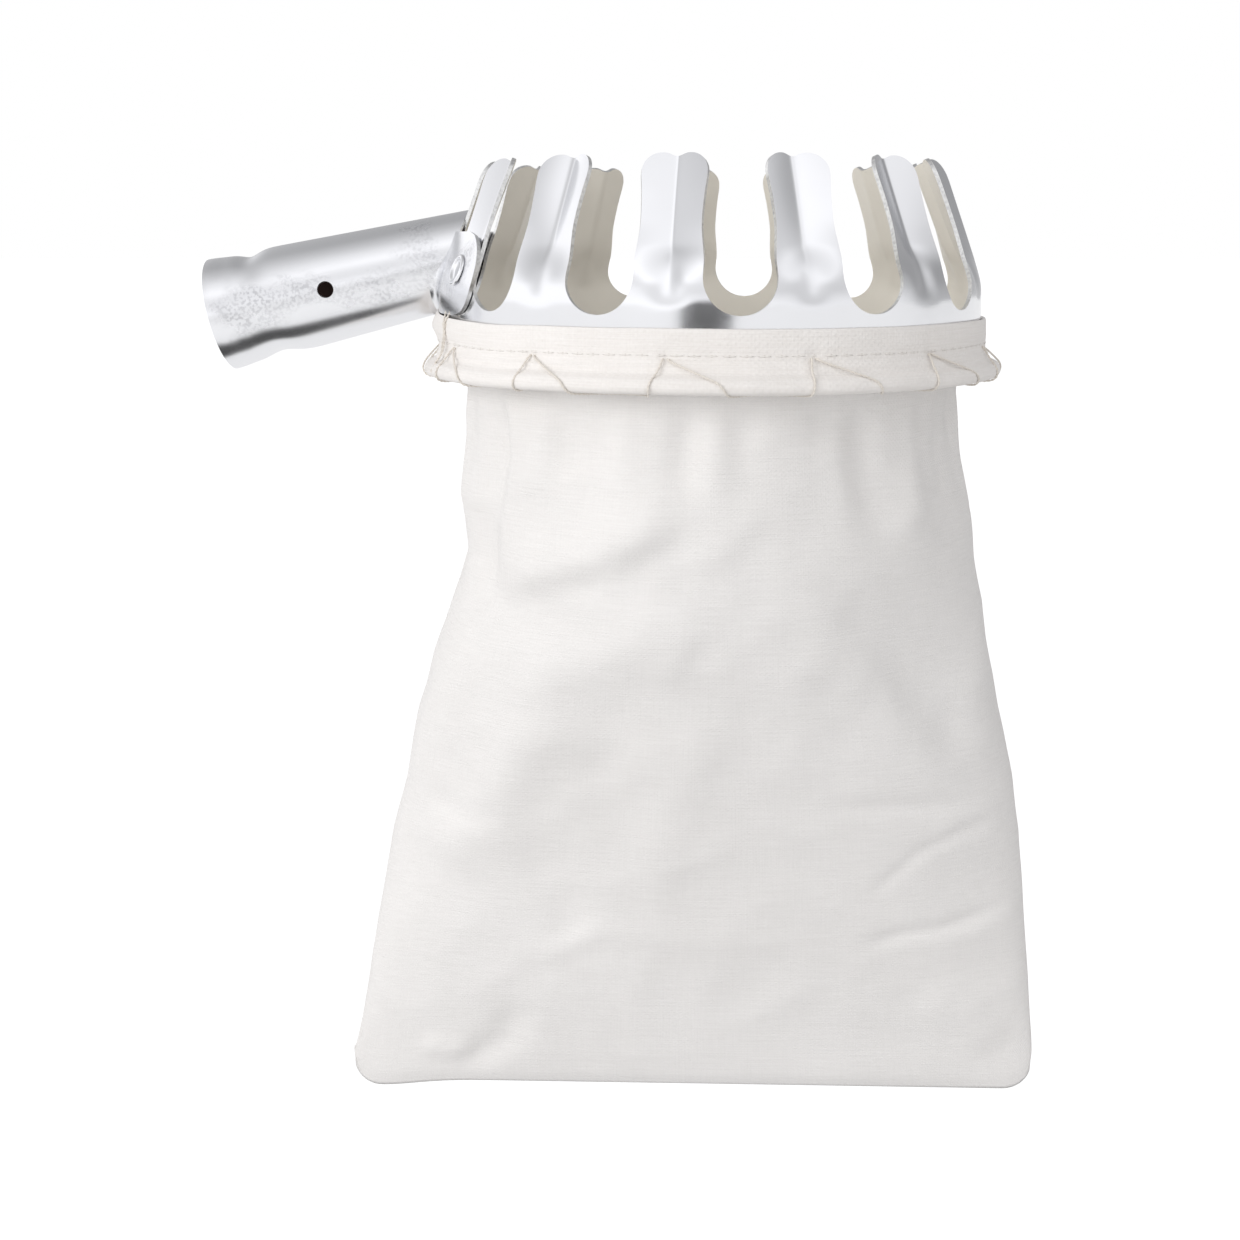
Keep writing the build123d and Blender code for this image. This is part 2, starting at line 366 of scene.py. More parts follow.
@dataclass(frozen=True)
class WovenCotton:
    """Plain-weave cotton on the piece's own UV map, which is in metres."""

    name: str
    colour: tuple[float, float, float]
    shade: tuple[float, float, float]
    threads_per_metre: float = 1500.0
    weave_bump: float = 0.35
    slub: float = 0.5
    hole_pitch: float = 0.0
    hole_level: float = 0.0
    hole_radius: float = 0.28 * MM
    # Colour of the needle holes: painted shade in holes that the mesh doesn't have.
    hole_shade_colour: tuple[float, float, float] = (0.50, 0.45, 0.40)

    def make(self) -> bpy.types.Material:
        """Builds the material and returns it."""
        n = Nodes(self.name)
        n.shader.inputs["Roughness"].default_value = 0.92
        n.shader.inputs["Specular IOR Level"].default_value = 0.12
        n.shader.inputs["Sheen Weight"].default_value = 0.18
        n.shader.inputs["Sheen Roughness"].default_value = 0.5
        where = n.coordinates(uv=True)
        split = n.add("ShaderNodeSeparateXYZ")
        n.join(where, split.inputs[0])
        wobble = n.span(n.noise(where, 90.0, 2.0), -0.6, 0.6)
        turn = math.pi * self.threads_per_metre
        waves = []
        for axis in (0, 1):
            phase = n.math("ADD", n.math("MULTIPLY", split.outputs[axis], turn), wobble)
            waves.append(n.math("SINE", phase))
        weave = n.span(n.math("MULTIPLY", waves[0], waves[1]), 0.5, 1.0)
        across = n.noise(n.coordinates((90.0, 2600.0, 1.0), uv=True), 1.0, 2.0)
        along = n.noise(n.coordinates((2600.0, 90.0, 1.0), uv=True), 1.0, 2.0)
        slubs = n.math("ADD", n.math("MULTIPLY", across, 0.66), n.math("MULTIPLY", along, 0.34))
        cloud = n.noise(where, 14.0, 3.0)
        tone = n.math("ADD", n.math("MULTIPLY", slubs, self.slub), n.math("MULTIPLY", cloud, 0.5))
        lightness = n.ramp(tone, [(0.25, BLACK), (0.75, WHITE)])
        base = n.mix(lightness, (*self.shade, 1), (*self.colour, 1))
        if self.hole_pitch:
            # The needle holes are painted as dark dots: painted shade in holes that the mesh doesn't have.
            base = n.mix(self.holes(n), base, (*self.hole_shade_colour, 1))
        n.join(base, n.shader.inputs["Base Color"])
        n.bump(weave, self.weave_bump, 0.00012)
        n.bump(slubs, 0.5, 0.00035)
        return n.material

    def holes(self, n: Nodes) -> bpy.types.NodeSocket:
        """Gives the mask of the needle holes along the stitch row, 1 in a hole and 0 elsewhere, where
        painted shade darkens the cloth.
        """
        place = n.add("ShaderNodeTexCoord")
        split = n.add("ShaderNodeSeparateXYZ")
        n.join(place.outputs["UV"], split.inputs[0])
        turns = n.math("FRACT", n.math("DIVIDE", split.outputs[0], self.hole_pitch))
        across = n.math("MULTIPLY", n.math("SUBTRACT", turns, 0.5), self.hole_pitch)
        rise = n.math("SUBTRACT", split.outputs[1], self.hole_level)
        away = n.math("SQRT", n.math("ADD", n.math("POWER", across, 2.0), n.math("POWER", rise, 2.0)))
        return n.math("LESS_THAN", away, self.hole_radius)


@dataclass(frozen=True)
class Twine:
    """Twisted cotton, on Object coordinates because its strands are real."""

    name: str
    colour: tuple[float, float, float] = (0.80, 0.75, 0.66)

    def make(self) -> bpy.types.Material:
        """Builds the material and returns it."""
        n = Nodes(self.name)
        n.shader.inputs["Roughness"].default_value = 0.9
        n.shader.inputs["Specular IOR Level"].default_value = 0.1
        n.shader.inputs["Sheen Weight"].default_value = 0.25
        where = n.coordinates()
        fibre = n.noise(where, 2200.0, 3.0)
        darker = tuple(0.82 * c for c in self.colour)
        n.join(n.mix(fibre, (*darker, 1), (*self.colour, 1)), n.shader.inputs["Base Color"])
        n.bump(fibre, 0.5, 0.00015)
        return n.material


# ---------------------------------------------------------------- mesh helpers


def finish_piece(
    name: str,
    mesh: bmesh.types.BMesh,
    materials: list[bpy.types.Material],
    body: Body | None,
    node: str | None = None,
) -> bpy.types.Object:
    """Makes an object of a bmesh, smooth-shaded, and puts it on its body.

    Args:
        name: the piece's name.
        mesh: the finished bmesh, which is freed.
        materials: its materials, in slot order.
        body: the body that it rides on, or None to put it on no body.
        node: a CAD node that it replaces.

    Returns:
        The new object.
    """
    data = bpy.data.meshes.new(name)
    mesh.to_mesh(data)
    mesh.free()
    piece = bpy.data.objects.new(name, data)
    bpy.context.collection.objects.link(piece)
    for material in materials:
        data.materials.append(material)
    for face in data.polygons:
        face.use_smooth = True
    if body is not None:
        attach(piece, body.value)
    if node:
        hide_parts(node)
    LOG.info("%s: %d faces", name, len(data.polygons))
    return piece


def thicken(piece: bpy.types.Object, thickness: float, inner: int = 0, rim: int = 0) -> None:
    """Gives a sheet its wall, inwards, and keeps its cut edges crisp.

    Args:
        piece: the sheet's object.
        thickness: the wall's thickness.
        inner: how many material slots further the inner face is.
        rim: how many material slots further the cut edge is.
    """
    wall = piece.modifiers.new("wall", "SOLIDIFY")
    wall.thickness = thickness
    wall.offset = -1
    wall.use_quality_normals = True
    wall.material_offset = inner
    wall.material_offset_rim = rim
    shaped = bpy.data.meshes.new_from_object(piece.evaluated_get(bpy.context.evaluated_depsgraph_get()))
    piece.modifiers.clear()
    flat = piece.data
    piece.data = shaped
    bpy.data.meshes.remove(flat)
    shaped.name = piece.name
    shaped.set_sharp_from_angle(angle=SHARP_ANGLE)


def grid(columns: int, rows: int) -> bmesh.types.BMesh:
    """Makes a flat grid whose vertices run over 0 to 1 in x and y.

    Args:
        columns: faces along x.
        rows: faces along y.

    Returns:
        The bmesh.
    """
    mesh = bmesh.new()
    bmesh.ops.create_grid(mesh, x_segments=columns, y_segments=rows, size=0.5)
    bmesh.ops.translate(mesh, verts=mesh.verts, vec=(0.5, 0.5, 0))
    return mesh


def spun(outline: tuple[tuple[float, float], ...], steps: int, cuts: int = 0) -> bmesh.types.BMesh:
    """Spins an outline round the Z axis.

    Args:
        outline: radius and height of its points, in millimetres.
        steps: how many steps the full turn takes.
        cuts: how many times each of its edges is cut first.

    Returns:
        The bmesh.
    """
    mesh = bmesh.new()
    verts = [mesh.verts.new((radius * MM, 0, height * MM)) for radius, height in outline]
    edges = [mesh.edges.new(pair) for pair in zip(verts, verts[1:])]
    if cuts:
        bmesh.ops.subdivide_edges(mesh, edges=edges, cuts=cuts)
    bmesh.ops.spin(
        mesh,
        geom=mesh.verts[:] + mesh.edges[:],
        cent=(0, 0, 0),
        axis=(0, 0, 1),
        angle=math.tau,
        steps=steps,
        use_merge=True,
        use_duplicate=False,
    )
    return mesh


def face_outwards(mesh: bmesh.types.BMesh, middle: Vector) -> None:
    """Makes the normals agree and turns them away from a point.

    Args:
        mesh: the sheet's bmesh.
        middle: the point inside it.
    """
    bmesh.ops.recalc_face_normals(mesh, faces=mesh.faces)
    if sum(face.normal.dot(face.calc_center_median() - middle) for face in mesh.faces) < 0:
        bmesh.ops.reverse_faces(mesh, faces=mesh.faces)


def stage_piece(name: str, mesh: bmesh.types.BMesh, material: bpy.types.Material) -> bpy.types.Object:
    """Makes a piece of the studio of a bmesh, which is freed.

    Args:
        name: the piece's name.
        mesh: the finished bmesh.
        material: its material.

    Returns:
        The new object, which isn't part of the basket.
    """
    data = bpy.data.meshes.new(name)
    mesh.to_mesh(data)
    mesh.free()
    piece = bpy.data.objects.new(name, data)
    bpy.context.collection.objects.link(piece)
    data.materials.append(material)
    piece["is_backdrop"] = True
    return piece


def ease(value: float) -> float:
    """Eases 0 to 1 in and out, and clamps outside it."""
    value = min(1.0, max(0.0, value))
    return value * value * (3 - 2 * value)


def bell(value: float, centre: float, width: float) -> float:
    """A smooth hump of height 1 about a centre."""
    return math.exp(-(((value - centre) / width) ** 2))


def wave(place: Vector, size: float, seed: float = 0.0) -> float:
    """Smooth noise from -1 to 1 with features of about a size."""
    return noise.noise(place / size + Vector((seed, 3.1 * seed, -1.7 * seed)))


def box_centre(node: str) -> Vector:
    """Middle of a CAD node's box."""
    low, high = (Vector(corner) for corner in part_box(node))
    return (low + high) / 2


# ------------------------------------------------------------------ the frame


@dataclass
class Ring:
    """The crown's place and the sizes that other pieces share."""

    fingers: int = 13
    band_radius: float = 72.0 * MM
    flange_radius: float = 76.2 * MM
    flange_low: float = -16.5 * MM
    steel: float = 1.0 * MM
    bend: float = 6.0 * MM
    bend_softness: float = 3.0 * MM
    lean: float = math.radians(20.2)
    axis: Vector = field(init=False)

    def __post_init__(self) -> None:
        """Finds the crown's axis, at the level of its slots' bottoms, from its box."""
        middle = box_centre("crown")
        low = Vector(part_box("crown")[0])
        self.axis = Vector((middle.x, middle.y, low.z - self.flange_low))

    @property
    def pitch(self) -> float:
        """Angle from one finger to the next."""
        return math.tau / self.fingers

    def point(self, radius: float, turn: float, height: float) -> Vector:
        """Point given by radius, azimuth in radians and height above the slots' bottoms."""
        return self.axis + Vector((radius * math.cos(turn), radius * math.sin(turn), height))

    def outside(self, height: float) -> float:
        """Outside radius of the sheet at a height, with a soft bend into the lean."""
        over = height - self.bend
        soft = self.bend_softness
        rise = 0.5 * (over + math.hypot(over, soft)) - 0.2 * soft
        return self.band_radius - max(0.0, rise) * math.tan(self.lean)

    def finger(self, index: int) -> float:
        """Azimuth of a finger; finger 0 points to the socket."""
        return math.pi + index * self.pitch


# ---------------------------------------------------------------------- crown


@dataclass
class Crown:
    """The stamped ring: band, flange and V-folded fingers, from one sheet."""

    ring: Ring
    sheet: bpy.types.Material
    inner: bpy.types.Material
    edge: bpy.types.Material
    slot_radius: float = 9.0 * MM
    tip: float = 37.7 * MM
    notch: float = 36.85 * MM
    shoulder: float = 32.3 * MM
    lobe: float = 0.40
    waist: float = 22.0 * MM
    waist_half: float = 7.25 * MM
    flare: float = 1.5 * MM
    crease: float = 3.9 * MM
    crease_start: float = 7.0 * MM
    crease_growth: float = 3.2
    crease_rounding: float = 0.05
    dimple_depth: float = 0.9 * MM
    dimple_level: float = 7.5 * MM
    dimple_height: float = 3.4 * MM
    dimple_half: float = 0.36
    settle_length: float = 4.0 * MM
    flange_bend: float = 1.6 * MM
    columns: int = 36
    finger_rows: int = 44
    slot_rows: int = 11
    first_arc: float = math.radians(13)
    band_rows: int = 14

    def half_width(self, height: float) -> float:
        """Half the sheet's width at a height, between the slots on each side."""
        whole = self.ring.band_radius * self.ring.pitch / 2
        if height <= 0:
            return whole
        if height < self.slot_radius:
            drop = self.slot_radius - height
            return whole - math.sqrt(self.slot_radius**2 - drop**2)
        root = whole - self.slot_radius
        flared = self.waist_half + self.flare * ((height - self.waist) / (self.tip - self.waist)) ** 2
        share = ease((height - self.slot_radius) / (self.waist - self.slot_radius))
        return root + (flared - root) * share if height < self.waist else flared

    def tip_height(self, across: float) -> float:
        """Height of the tip's outline, across from -1 at one side to 1 at the other."""
        reach = abs(across)
        fall = max(0.0, reach - self.lobe) / (1 - self.lobe)
        top = self.shoulder + (self.tip - self.shoulder) * math.sqrt(max(0.0, 1 - fall**2))
        return top - (self.tip - self.notch) * (1 - ease(reach / (0.85 * self.lobe)))

    def place(self, across: float, height: float, flat_half: float) -> Vector:
        """Point on the outside of the sheet, about a finger at azimuth 0.

        Args:
            across: from -1 to 1 over the sheet's width.
            height: height above the slots' bottoms.
            flat_half: half width of the sheet there.

        Returns:
            The point, about the crown's axis.
        """
        outside = self.ring.outside(height)
        radius = outside
        fold = max(0.0, height - self.crease_start) / (self.tip - self.crease_start)
        if fold > 0:
            depth = self.crease * ease(fold * self.crease_growth) ** 0.8 * (0.55 + 0.45 * fold)
            soft = self.crease_rounding
            vee = 1 - (math.hypot(across, soft) - soft) / (math.hypot(1, soft) - soft)
            radius -= depth * vee
        dimple = bell(height, self.dimple_level, self.dimple_height) * bell(across, 0.0, self.dimple_half)
        radius -= self.dimple_depth * dimple * ease(height / self.settle_length)
        settle = ease((height - self.slot_radius) / self.settle_length)
        turn = across * flat_half / (self.ring.band_radius + (outside - self.ring.band_radius) * settle)
        return Vector((radius * math.cos(turn), radius * math.sin(turn), height))

    def flange(self, along: float, across: float) -> Vector:
        """Point on the band or the out-turned flange below the slots.

        Args:
            along: length down the sheet from the slots' bottoms.
            across: from -1 to 1 over one pitch.

        Returns:
            The point, about the crown's axis.
        """
        ring = self.ring
        bend = self.flange_bend
        low = ring.flange_low + ring.steel
        upright = -low - bend
        quarter = bend * math.pi / 2
        if along <= upright:
            radius, height = ring.band_radius, -along
        elif along < upright + quarter:
            angle = (along - upright) / bend
            radius = ring.band_radius + bend * (1 - math.cos(angle))
            height = -upright - bend * math.sin(angle)
        else:
            radius = ring.band_radius + bend + (along - upright - quarter)
            height = low
        turn = across * ring.pitch / 2
        return Vector((radius * math.cos(turn), radius * math.sin(turn), height))

    def sector(self) -> bmesh.types.BMesh:
        """One finger with its share of the band and flange, as a flat grid pressed to shape."""
        rows = self.band_rows + self.slot_rows + self.finger_rows
        mesh = grid(self.columns, rows)
        down = -self.ring.flange_low + (self.ring.flange_radius - self.ring.band_radius)
        down -= self.flange_bend * (2 - math.pi / 2) + self.ring.steel
        for vertex in mesh.verts:
            # The columns crowd a little towards the finger's sides, where its outline turns.
            across = 2 * vertex.co.x - 1
            across = math.sin(across * math.pi / 2) * 0.5 + across * 0.5
            row = round(vertex.co.y * rows)
            if row <= self.band_rows:
                vertex.co = self.flange(down * (1 - row / self.band_rows), across)
            elif row <= self.band_rows + self.slot_rows:
                share = (row - self.band_rows - 1) / (self.slot_rows - 1)
                angle = self.first_arc + (math.pi / 2 - self.first_arc) * share
                height = self.slot_radius * (1 - math.cos(angle))
                vertex.co = self.place(across, height, self.half_width(height))
            else:
                share = (row - self.band_rows - self.slot_rows) / self.finger_rows
                height = self.slot_radius + (self.tip_height(across) - self.slot_radius) * share
                vertex.co = self.place(across, height, self.half_width(height))
        return mesh

    def build(self) -> bpy.types.Object:
        """Builds the crown and returns it."""
        mesh = self.sector()
        first = mesh.faces[:] + mesh.edges[:] + mesh.verts[:]
        for index in range(self.ring.fingers):
            turned = bmesh.ops.duplicate(mesh, geom=first)["geom"]
            verts = [item for item in turned if isinstance(item, bmesh.types.BMVert)]
            turn = Matrix.Rotation(self.ring.finger(index), 3, "Z")
            bmesh.ops.rotate(mesh, verts=verts, cent=(0, 0, 0), matrix=turn)
        bmesh.ops.delete(mesh, geom=first, context="VERTS")
        bmesh.ops.remove_doubles(mesh, verts=mesh.verts, dist=0.03 * MM)
        bmesh.ops.translate(mesh, verts=mesh.verts, vec=self.ring.axis)
        face_outwards(mesh, self.ring.axis)
        piece = finish_piece(
            "crown_sheet", mesh, [self.sheet, self.inner, self.edge], Body.HEAD, "crown"
        )
        thicken(piece, self.ring.steel, inner=1, rim=2)
        return piece


# --------------------------------------------------------------------- socket


@dataclass(frozen=True)
class Dent:
    """A dent pressed into the tube, by its depth, place, length and spread round the wall."""

    depth: float
    along: float
    length: float
    spread: float = math.inf

    def fall(self, along: float, turn: float) -> float:
        """How far the dent sinks the wall at a place; turn is 0 at the dent's middle."""
        return self.depth * bell(along, self.along, self.length) * bell(turn, 0.0, self.spread)


@dataclass
class Socket:
    """The rolled and tapered pole socket with its two ears and rivets.

    The rivet's outline gives radius and height, in millimetres, from its head to its tail.
    """

    ring: Ring
    sheet: bpy.types.Material
    inner: bpy.types.Material
    edge: bpy.types.Material
    rivet: bpy.types.Material
    tilt: float = math.radians(12.7)
    wall: float = 1.1 * MM
    mouth: float = 15.1 * MM
    flared_mouth: float = 15.35 * MM
    end: float = 12.1 * MM
    length: float = 78.0 * MM
    straight: float = 8.0 * MM
    hole_along: float = 32.8 * MM
    hole_radius: float = 2.2 * MM
    ear_low: float = -1.6 * MM
    ear_high: float = 19.4 * MM
    rivet_height: float = 9.3 * MM
    top_dent: Dent = Dent(1.25 * MM, 12.0 * MM, 3.2 * MM, 0.62)
    under_dent: Dent = Dent(1.5 * MM, 14.5 * MM, 5.0 * MM, 0.62)
    neck: Dent = Dent(0.45 * MM, 9.0 * MM, 6.0 * MM)
    flare_length: float = 6.0 * MM
    end_gap: float = 0.25 * MM
    around: int = 96
    lengthwise: int = 90
    ear_columns: int = 46
    ear_rows: int = 26
    ear_bend: float = 3.0 * MM
    ear_lead: float = 2.5 * MM
    ear_tuck: float = 2.5 * MM
    ear_root: float = 60.0 * MM
    ear_inset: float = 0.6 * MM
    ear_stand: float = 0.35 * MM
    rivet_outline: tuple[tuple[float, float], ...] = (
        (0.0, 1.45),
        (1.9, 1.45),
        (2.5, 1.65),
        (2.9, 2.05),
        (3.4, 2.15),
        (3.9, 1.95),
        (4.2, 1.55),
        (4.1, 1.3),
        (2.0, 1.25),
        (2.0, -1.2),
        (2.9, -1.3),
        (2.8, -1.45),
        (2.2, -1.55),
        (0.0, -1.55),
    )

    @property
    def direction(self) -> Vector:
        """Unit vector up the socket's axis, towards the crown."""
        return Vector((math.cos(self.tilt), 0, math.sin(self.tilt)))

    @property
    def up(self) -> Vector:
        """Unit vector square to the socket's axis, upwards."""
        return Vector((-math.sin(self.tilt), 0, math.cos(self.tilt)))

    def radius(self, along: float, turn: float) -> float:
        """Outside radius of the tube, with its two pressed dents.

        Args:
            along: distance from the mouth.
            turn: angle about the axis, 0 at the top.

        Returns:
            The radius there.
        """
        share = max(0.0, along - self.straight) / (self.length - self.straight)
        taper = self.mouth + (self.end - self.mouth) * share
        flare = (self.flared_mouth - self.mouth) * (1 - ease(along / self.flare_length))
        top = self.top_dent.fall(along, turn)
        under = self.under_dent.fall(along, abs(turn) - math.pi)
        return taper + flare - top - under - self.neck.fall(along, turn)

    def wall_point(self, along: float, turn: float) -> Vector:
        """Point on the outside of the tube at a distance from the mouth and an angle."""
        reach = self.radius(along, turn)
        across = Vector((0, reach * math.sin(turn), 0))
        return self.direction * along + self.up * (reach * math.cos(turn)) + across

    def end_length(self, turn: float) -> float:
        """How far along the axis the tube reaches at an angle, where it meets the crown."""
        low, high = self.length / 2, self.length
        for _ in range(30):
            middle = (low + high) / 2
            away = self.wall_point(middle, turn) - self.ring.axis
            gap = math.hypot(away.x, away.y) - self.ring.outside(away.z) - self.end_gap
            if gap > 0:
                low = middle
            else:
                high = middle
        return low

    def tube(self) -> bpy.types.Object:
        """Builds the tapered tube, cut to the crown at its end and drilled for the screw."""
        mesh = grid(self.around, self.lengthwise)
        ends: dict[int, float] = {}
        for vertex in mesh.verts:
            column = round(vertex.co.x * self.around) % self.around
            turn = math.tau * column / self.around
            turn = turn if turn <= math.pi else turn - math.tau
            if column not in ends:
                ends[column] = self.end_length(turn)
            vertex.co = self.wall_point(ends[column] * vertex.co.y, turn)
        bmesh.ops.remove_doubles(mesh, verts=mesh.verts, dist=0.02 * MM)
        face_outwards(mesh, self.direction * (self.length / 2))
        self.drill(mesh)
        piece = finish_piece(
            "socket_tube", mesh, [self.sheet, self.inner, self.edge], Body.HEAD, "socket"
        )
        thicken(piece, self.wall, inner=1, rim=2)
        return piece

    def drill(self, mesh: bmesh.types.BMesh) -> None:
        """Opens the screw hole in the near wall and rounds its rim.

        Args:
            mesh: the tube's bmesh.
        """
        centre = self.direction * self.hole_along
        finer, rim_reach = 3.2 * self.hole_radius, 1.6 * self.hole_radius

        def away(spot: Vector) -> tuple[float, float]:
            """Distance along the tube and up its wall from the hole's centre."""
            return (spot - centre).dot(self.direction), (spot - centre).dot(self.up)

        near = [f for f in mesh.faces if f.calc_center_median().y < 0]
        region = [f for f in near if math.hypot(*away(f.calc_center_median())) < finer]
        edges = list({edge for face in region for edge in face.edges})
        bmesh.ops.subdivide_edges(mesh, edges=edges, cuts=3, use_grid_fill=True)
        inside = [
            f
            for f in mesh.faces
            if f.calc_center_median().y < 0 and math.hypot(*away(f.calc_center_median())) < self.hole_radius
        ]
        bmesh.ops.delete(mesh, geom=inside, context="FACES")
        rim = [
            v
            for v in mesh.verts
            if v.is_boundary and v.co.y < 0 and math.hypot(*away(v.co)) < rim_reach
        ]
        for vertex in rim:
            along, rise = away(vertex.co)
            grow = self.hole_radius / math.hypot(along, rise)
            turn = math.asin(max(-1.0, min(1.0, rise * grow / self.radius(self.hole_along, 0.0))))
            reach = self.radius(self.hole_along + along * grow, math.pi / 2)
            vertex.co = centre + self.direction * (along * grow) + self.up * (reach * math.sin(turn))
            vertex.co.y = -reach * math.cos(turn)

    def ear(self, name: str, side: int) -> bpy.types.Object:
        """Builds one ear: it leaves the tube's side, bends out and lies on the crown.

        Args:
            name: the piece's name.
            side: 1 for the ear towards -Y, -1 for the other.

        Returns:
            The ear.
        """
        ring = self.ring
        mesh = grid(self.ear_columns, self.ear_rows)
        middle = (self.ear_low + self.ear_high) / 2
        half = (self.ear_high - self.ear_low) / 2
        bend, lead = self.ear_bend, self.ear_lead
        quarter = bend * math.pi / 2
        tube_side = self.radius(self.ear_root, math.pi / 2)
        for vertex in mesh.verts:
            rise = 2 * vertex.co.y - 1
            corner = math.sqrt(max(0.0, 1 - rise * rise))
            full = ring.pitch * ring.band_radius + half * corner
            start = tube_side * math.sqrt(max(0.0, 1 - (0.90 * rise) ** 2)) - self.ear_inset
            height = middle + half * rise * (0.92 + 0.08 * ease(vertex.co.x * 3))
            outside = ring.outside(height) + self.ear_stand + self.wall
            total = lead + quarter + max(0.5 * MM, full - start - bend)
            path = vertex.co.x * total
            if path < lead:
                inward, out = lead - path + bend, 0.0
            elif path < lead + quarter:
                angle = (path - lead) / bend
                inward, out = bend * (1 - math.sin(angle)), bend * (1 - math.cos(angle))
            else:
                inward, out = 0.0, bend + path - lead - quarter
            tuck = self.ear_tuck * (1 - ease(path / lead))
            turn = math.pi + side * (start + out - tuck) / ring.band_radius
            lean_in = 0.12 * MM * bell(vertex.co.x, 1.0, 0.15)
            spot = ring.point(outside - lean_in, turn, height)
            spot -= Vector((math.cos(self.tilt), 0, math.sin(self.tilt) * 0.4)) * inward
            vertex.co = spot
        bmesh.ops.remove_doubles(mesh, verts=mesh.verts, dist=0.02 * MM)
        bmesh.ops.recalc_face_normals(mesh, faces=mesh.faces)
        tip = max(mesh.faces, key=lambda f: -side * f.calc_center_median().y)
        if tip.normal.dot(tip.calc_center_median() - ring.axis) < 0:
            bmesh.ops.reverse_faces(mesh, faces=mesh.faces)
        piece = finish_piece(name, mesh, [self.sheet, self.edge], Body.HEAD)
        thicken(piece, self.wall, rim=1)
        return piece

    def rivet_piece(self, name: str, side: int) -> bpy.types.Object:
        """Builds one rivet: a rolled head with a hollow centre, a shank and a flat tail.

        Args:
            name: the CAD node's name, which the piece replaces.
            side: 1 for the rivet towards -Y, -1 for the other.

        Returns:
            The rivet.
        """
        ring = self.ring
        turn = math.pi + side * ring.pitch
        outward = Vector((math.cos(turn), math.sin(turn), 0)) * math.cos(ring.lean)
        outward += Vector((0, 0, math.sin(ring.lean)))
        seat = ring.point(ring.outside(self.rivet_height), turn, self.rivet_height)
        mesh = spun(self.rivet_outline, steps=40)
        bmesh.ops.remove_doubles(mesh, verts=mesh.verts, dist=0.01 * MM)
        bmesh.ops.recalc_face_normals(mesh, faces=mesh.faces)
        facing = Vector((0, 0, 1)).rotation_difference(outward).to_matrix()
        bmesh.ops.rotate(mesh, verts=mesh.verts, cent=(0, 0, 0), matrix=facing)
        bmesh.ops.translate(mesh, verts=mesh.verts, vec=seat)
        piece = finish_piece(f"{name}_body", mesh, [self.rivet], Body.HEAD, name)
        rounding = piece.modifiers.new("round", "SUBSURF")
        rounding.levels = rounding.render_levels = 1
        return piece

    def build(self) -> None:
        """Builds the tube, the ears and the rivets."""
        self.tube()
        for name, side in (("front", 1), ("back", -1)):
            self.ear(f"socket_ear_{name}", side)
            self.rivet_piece(f"rivet_{name}", side)


# ------------------------------------------------------------------------ hem


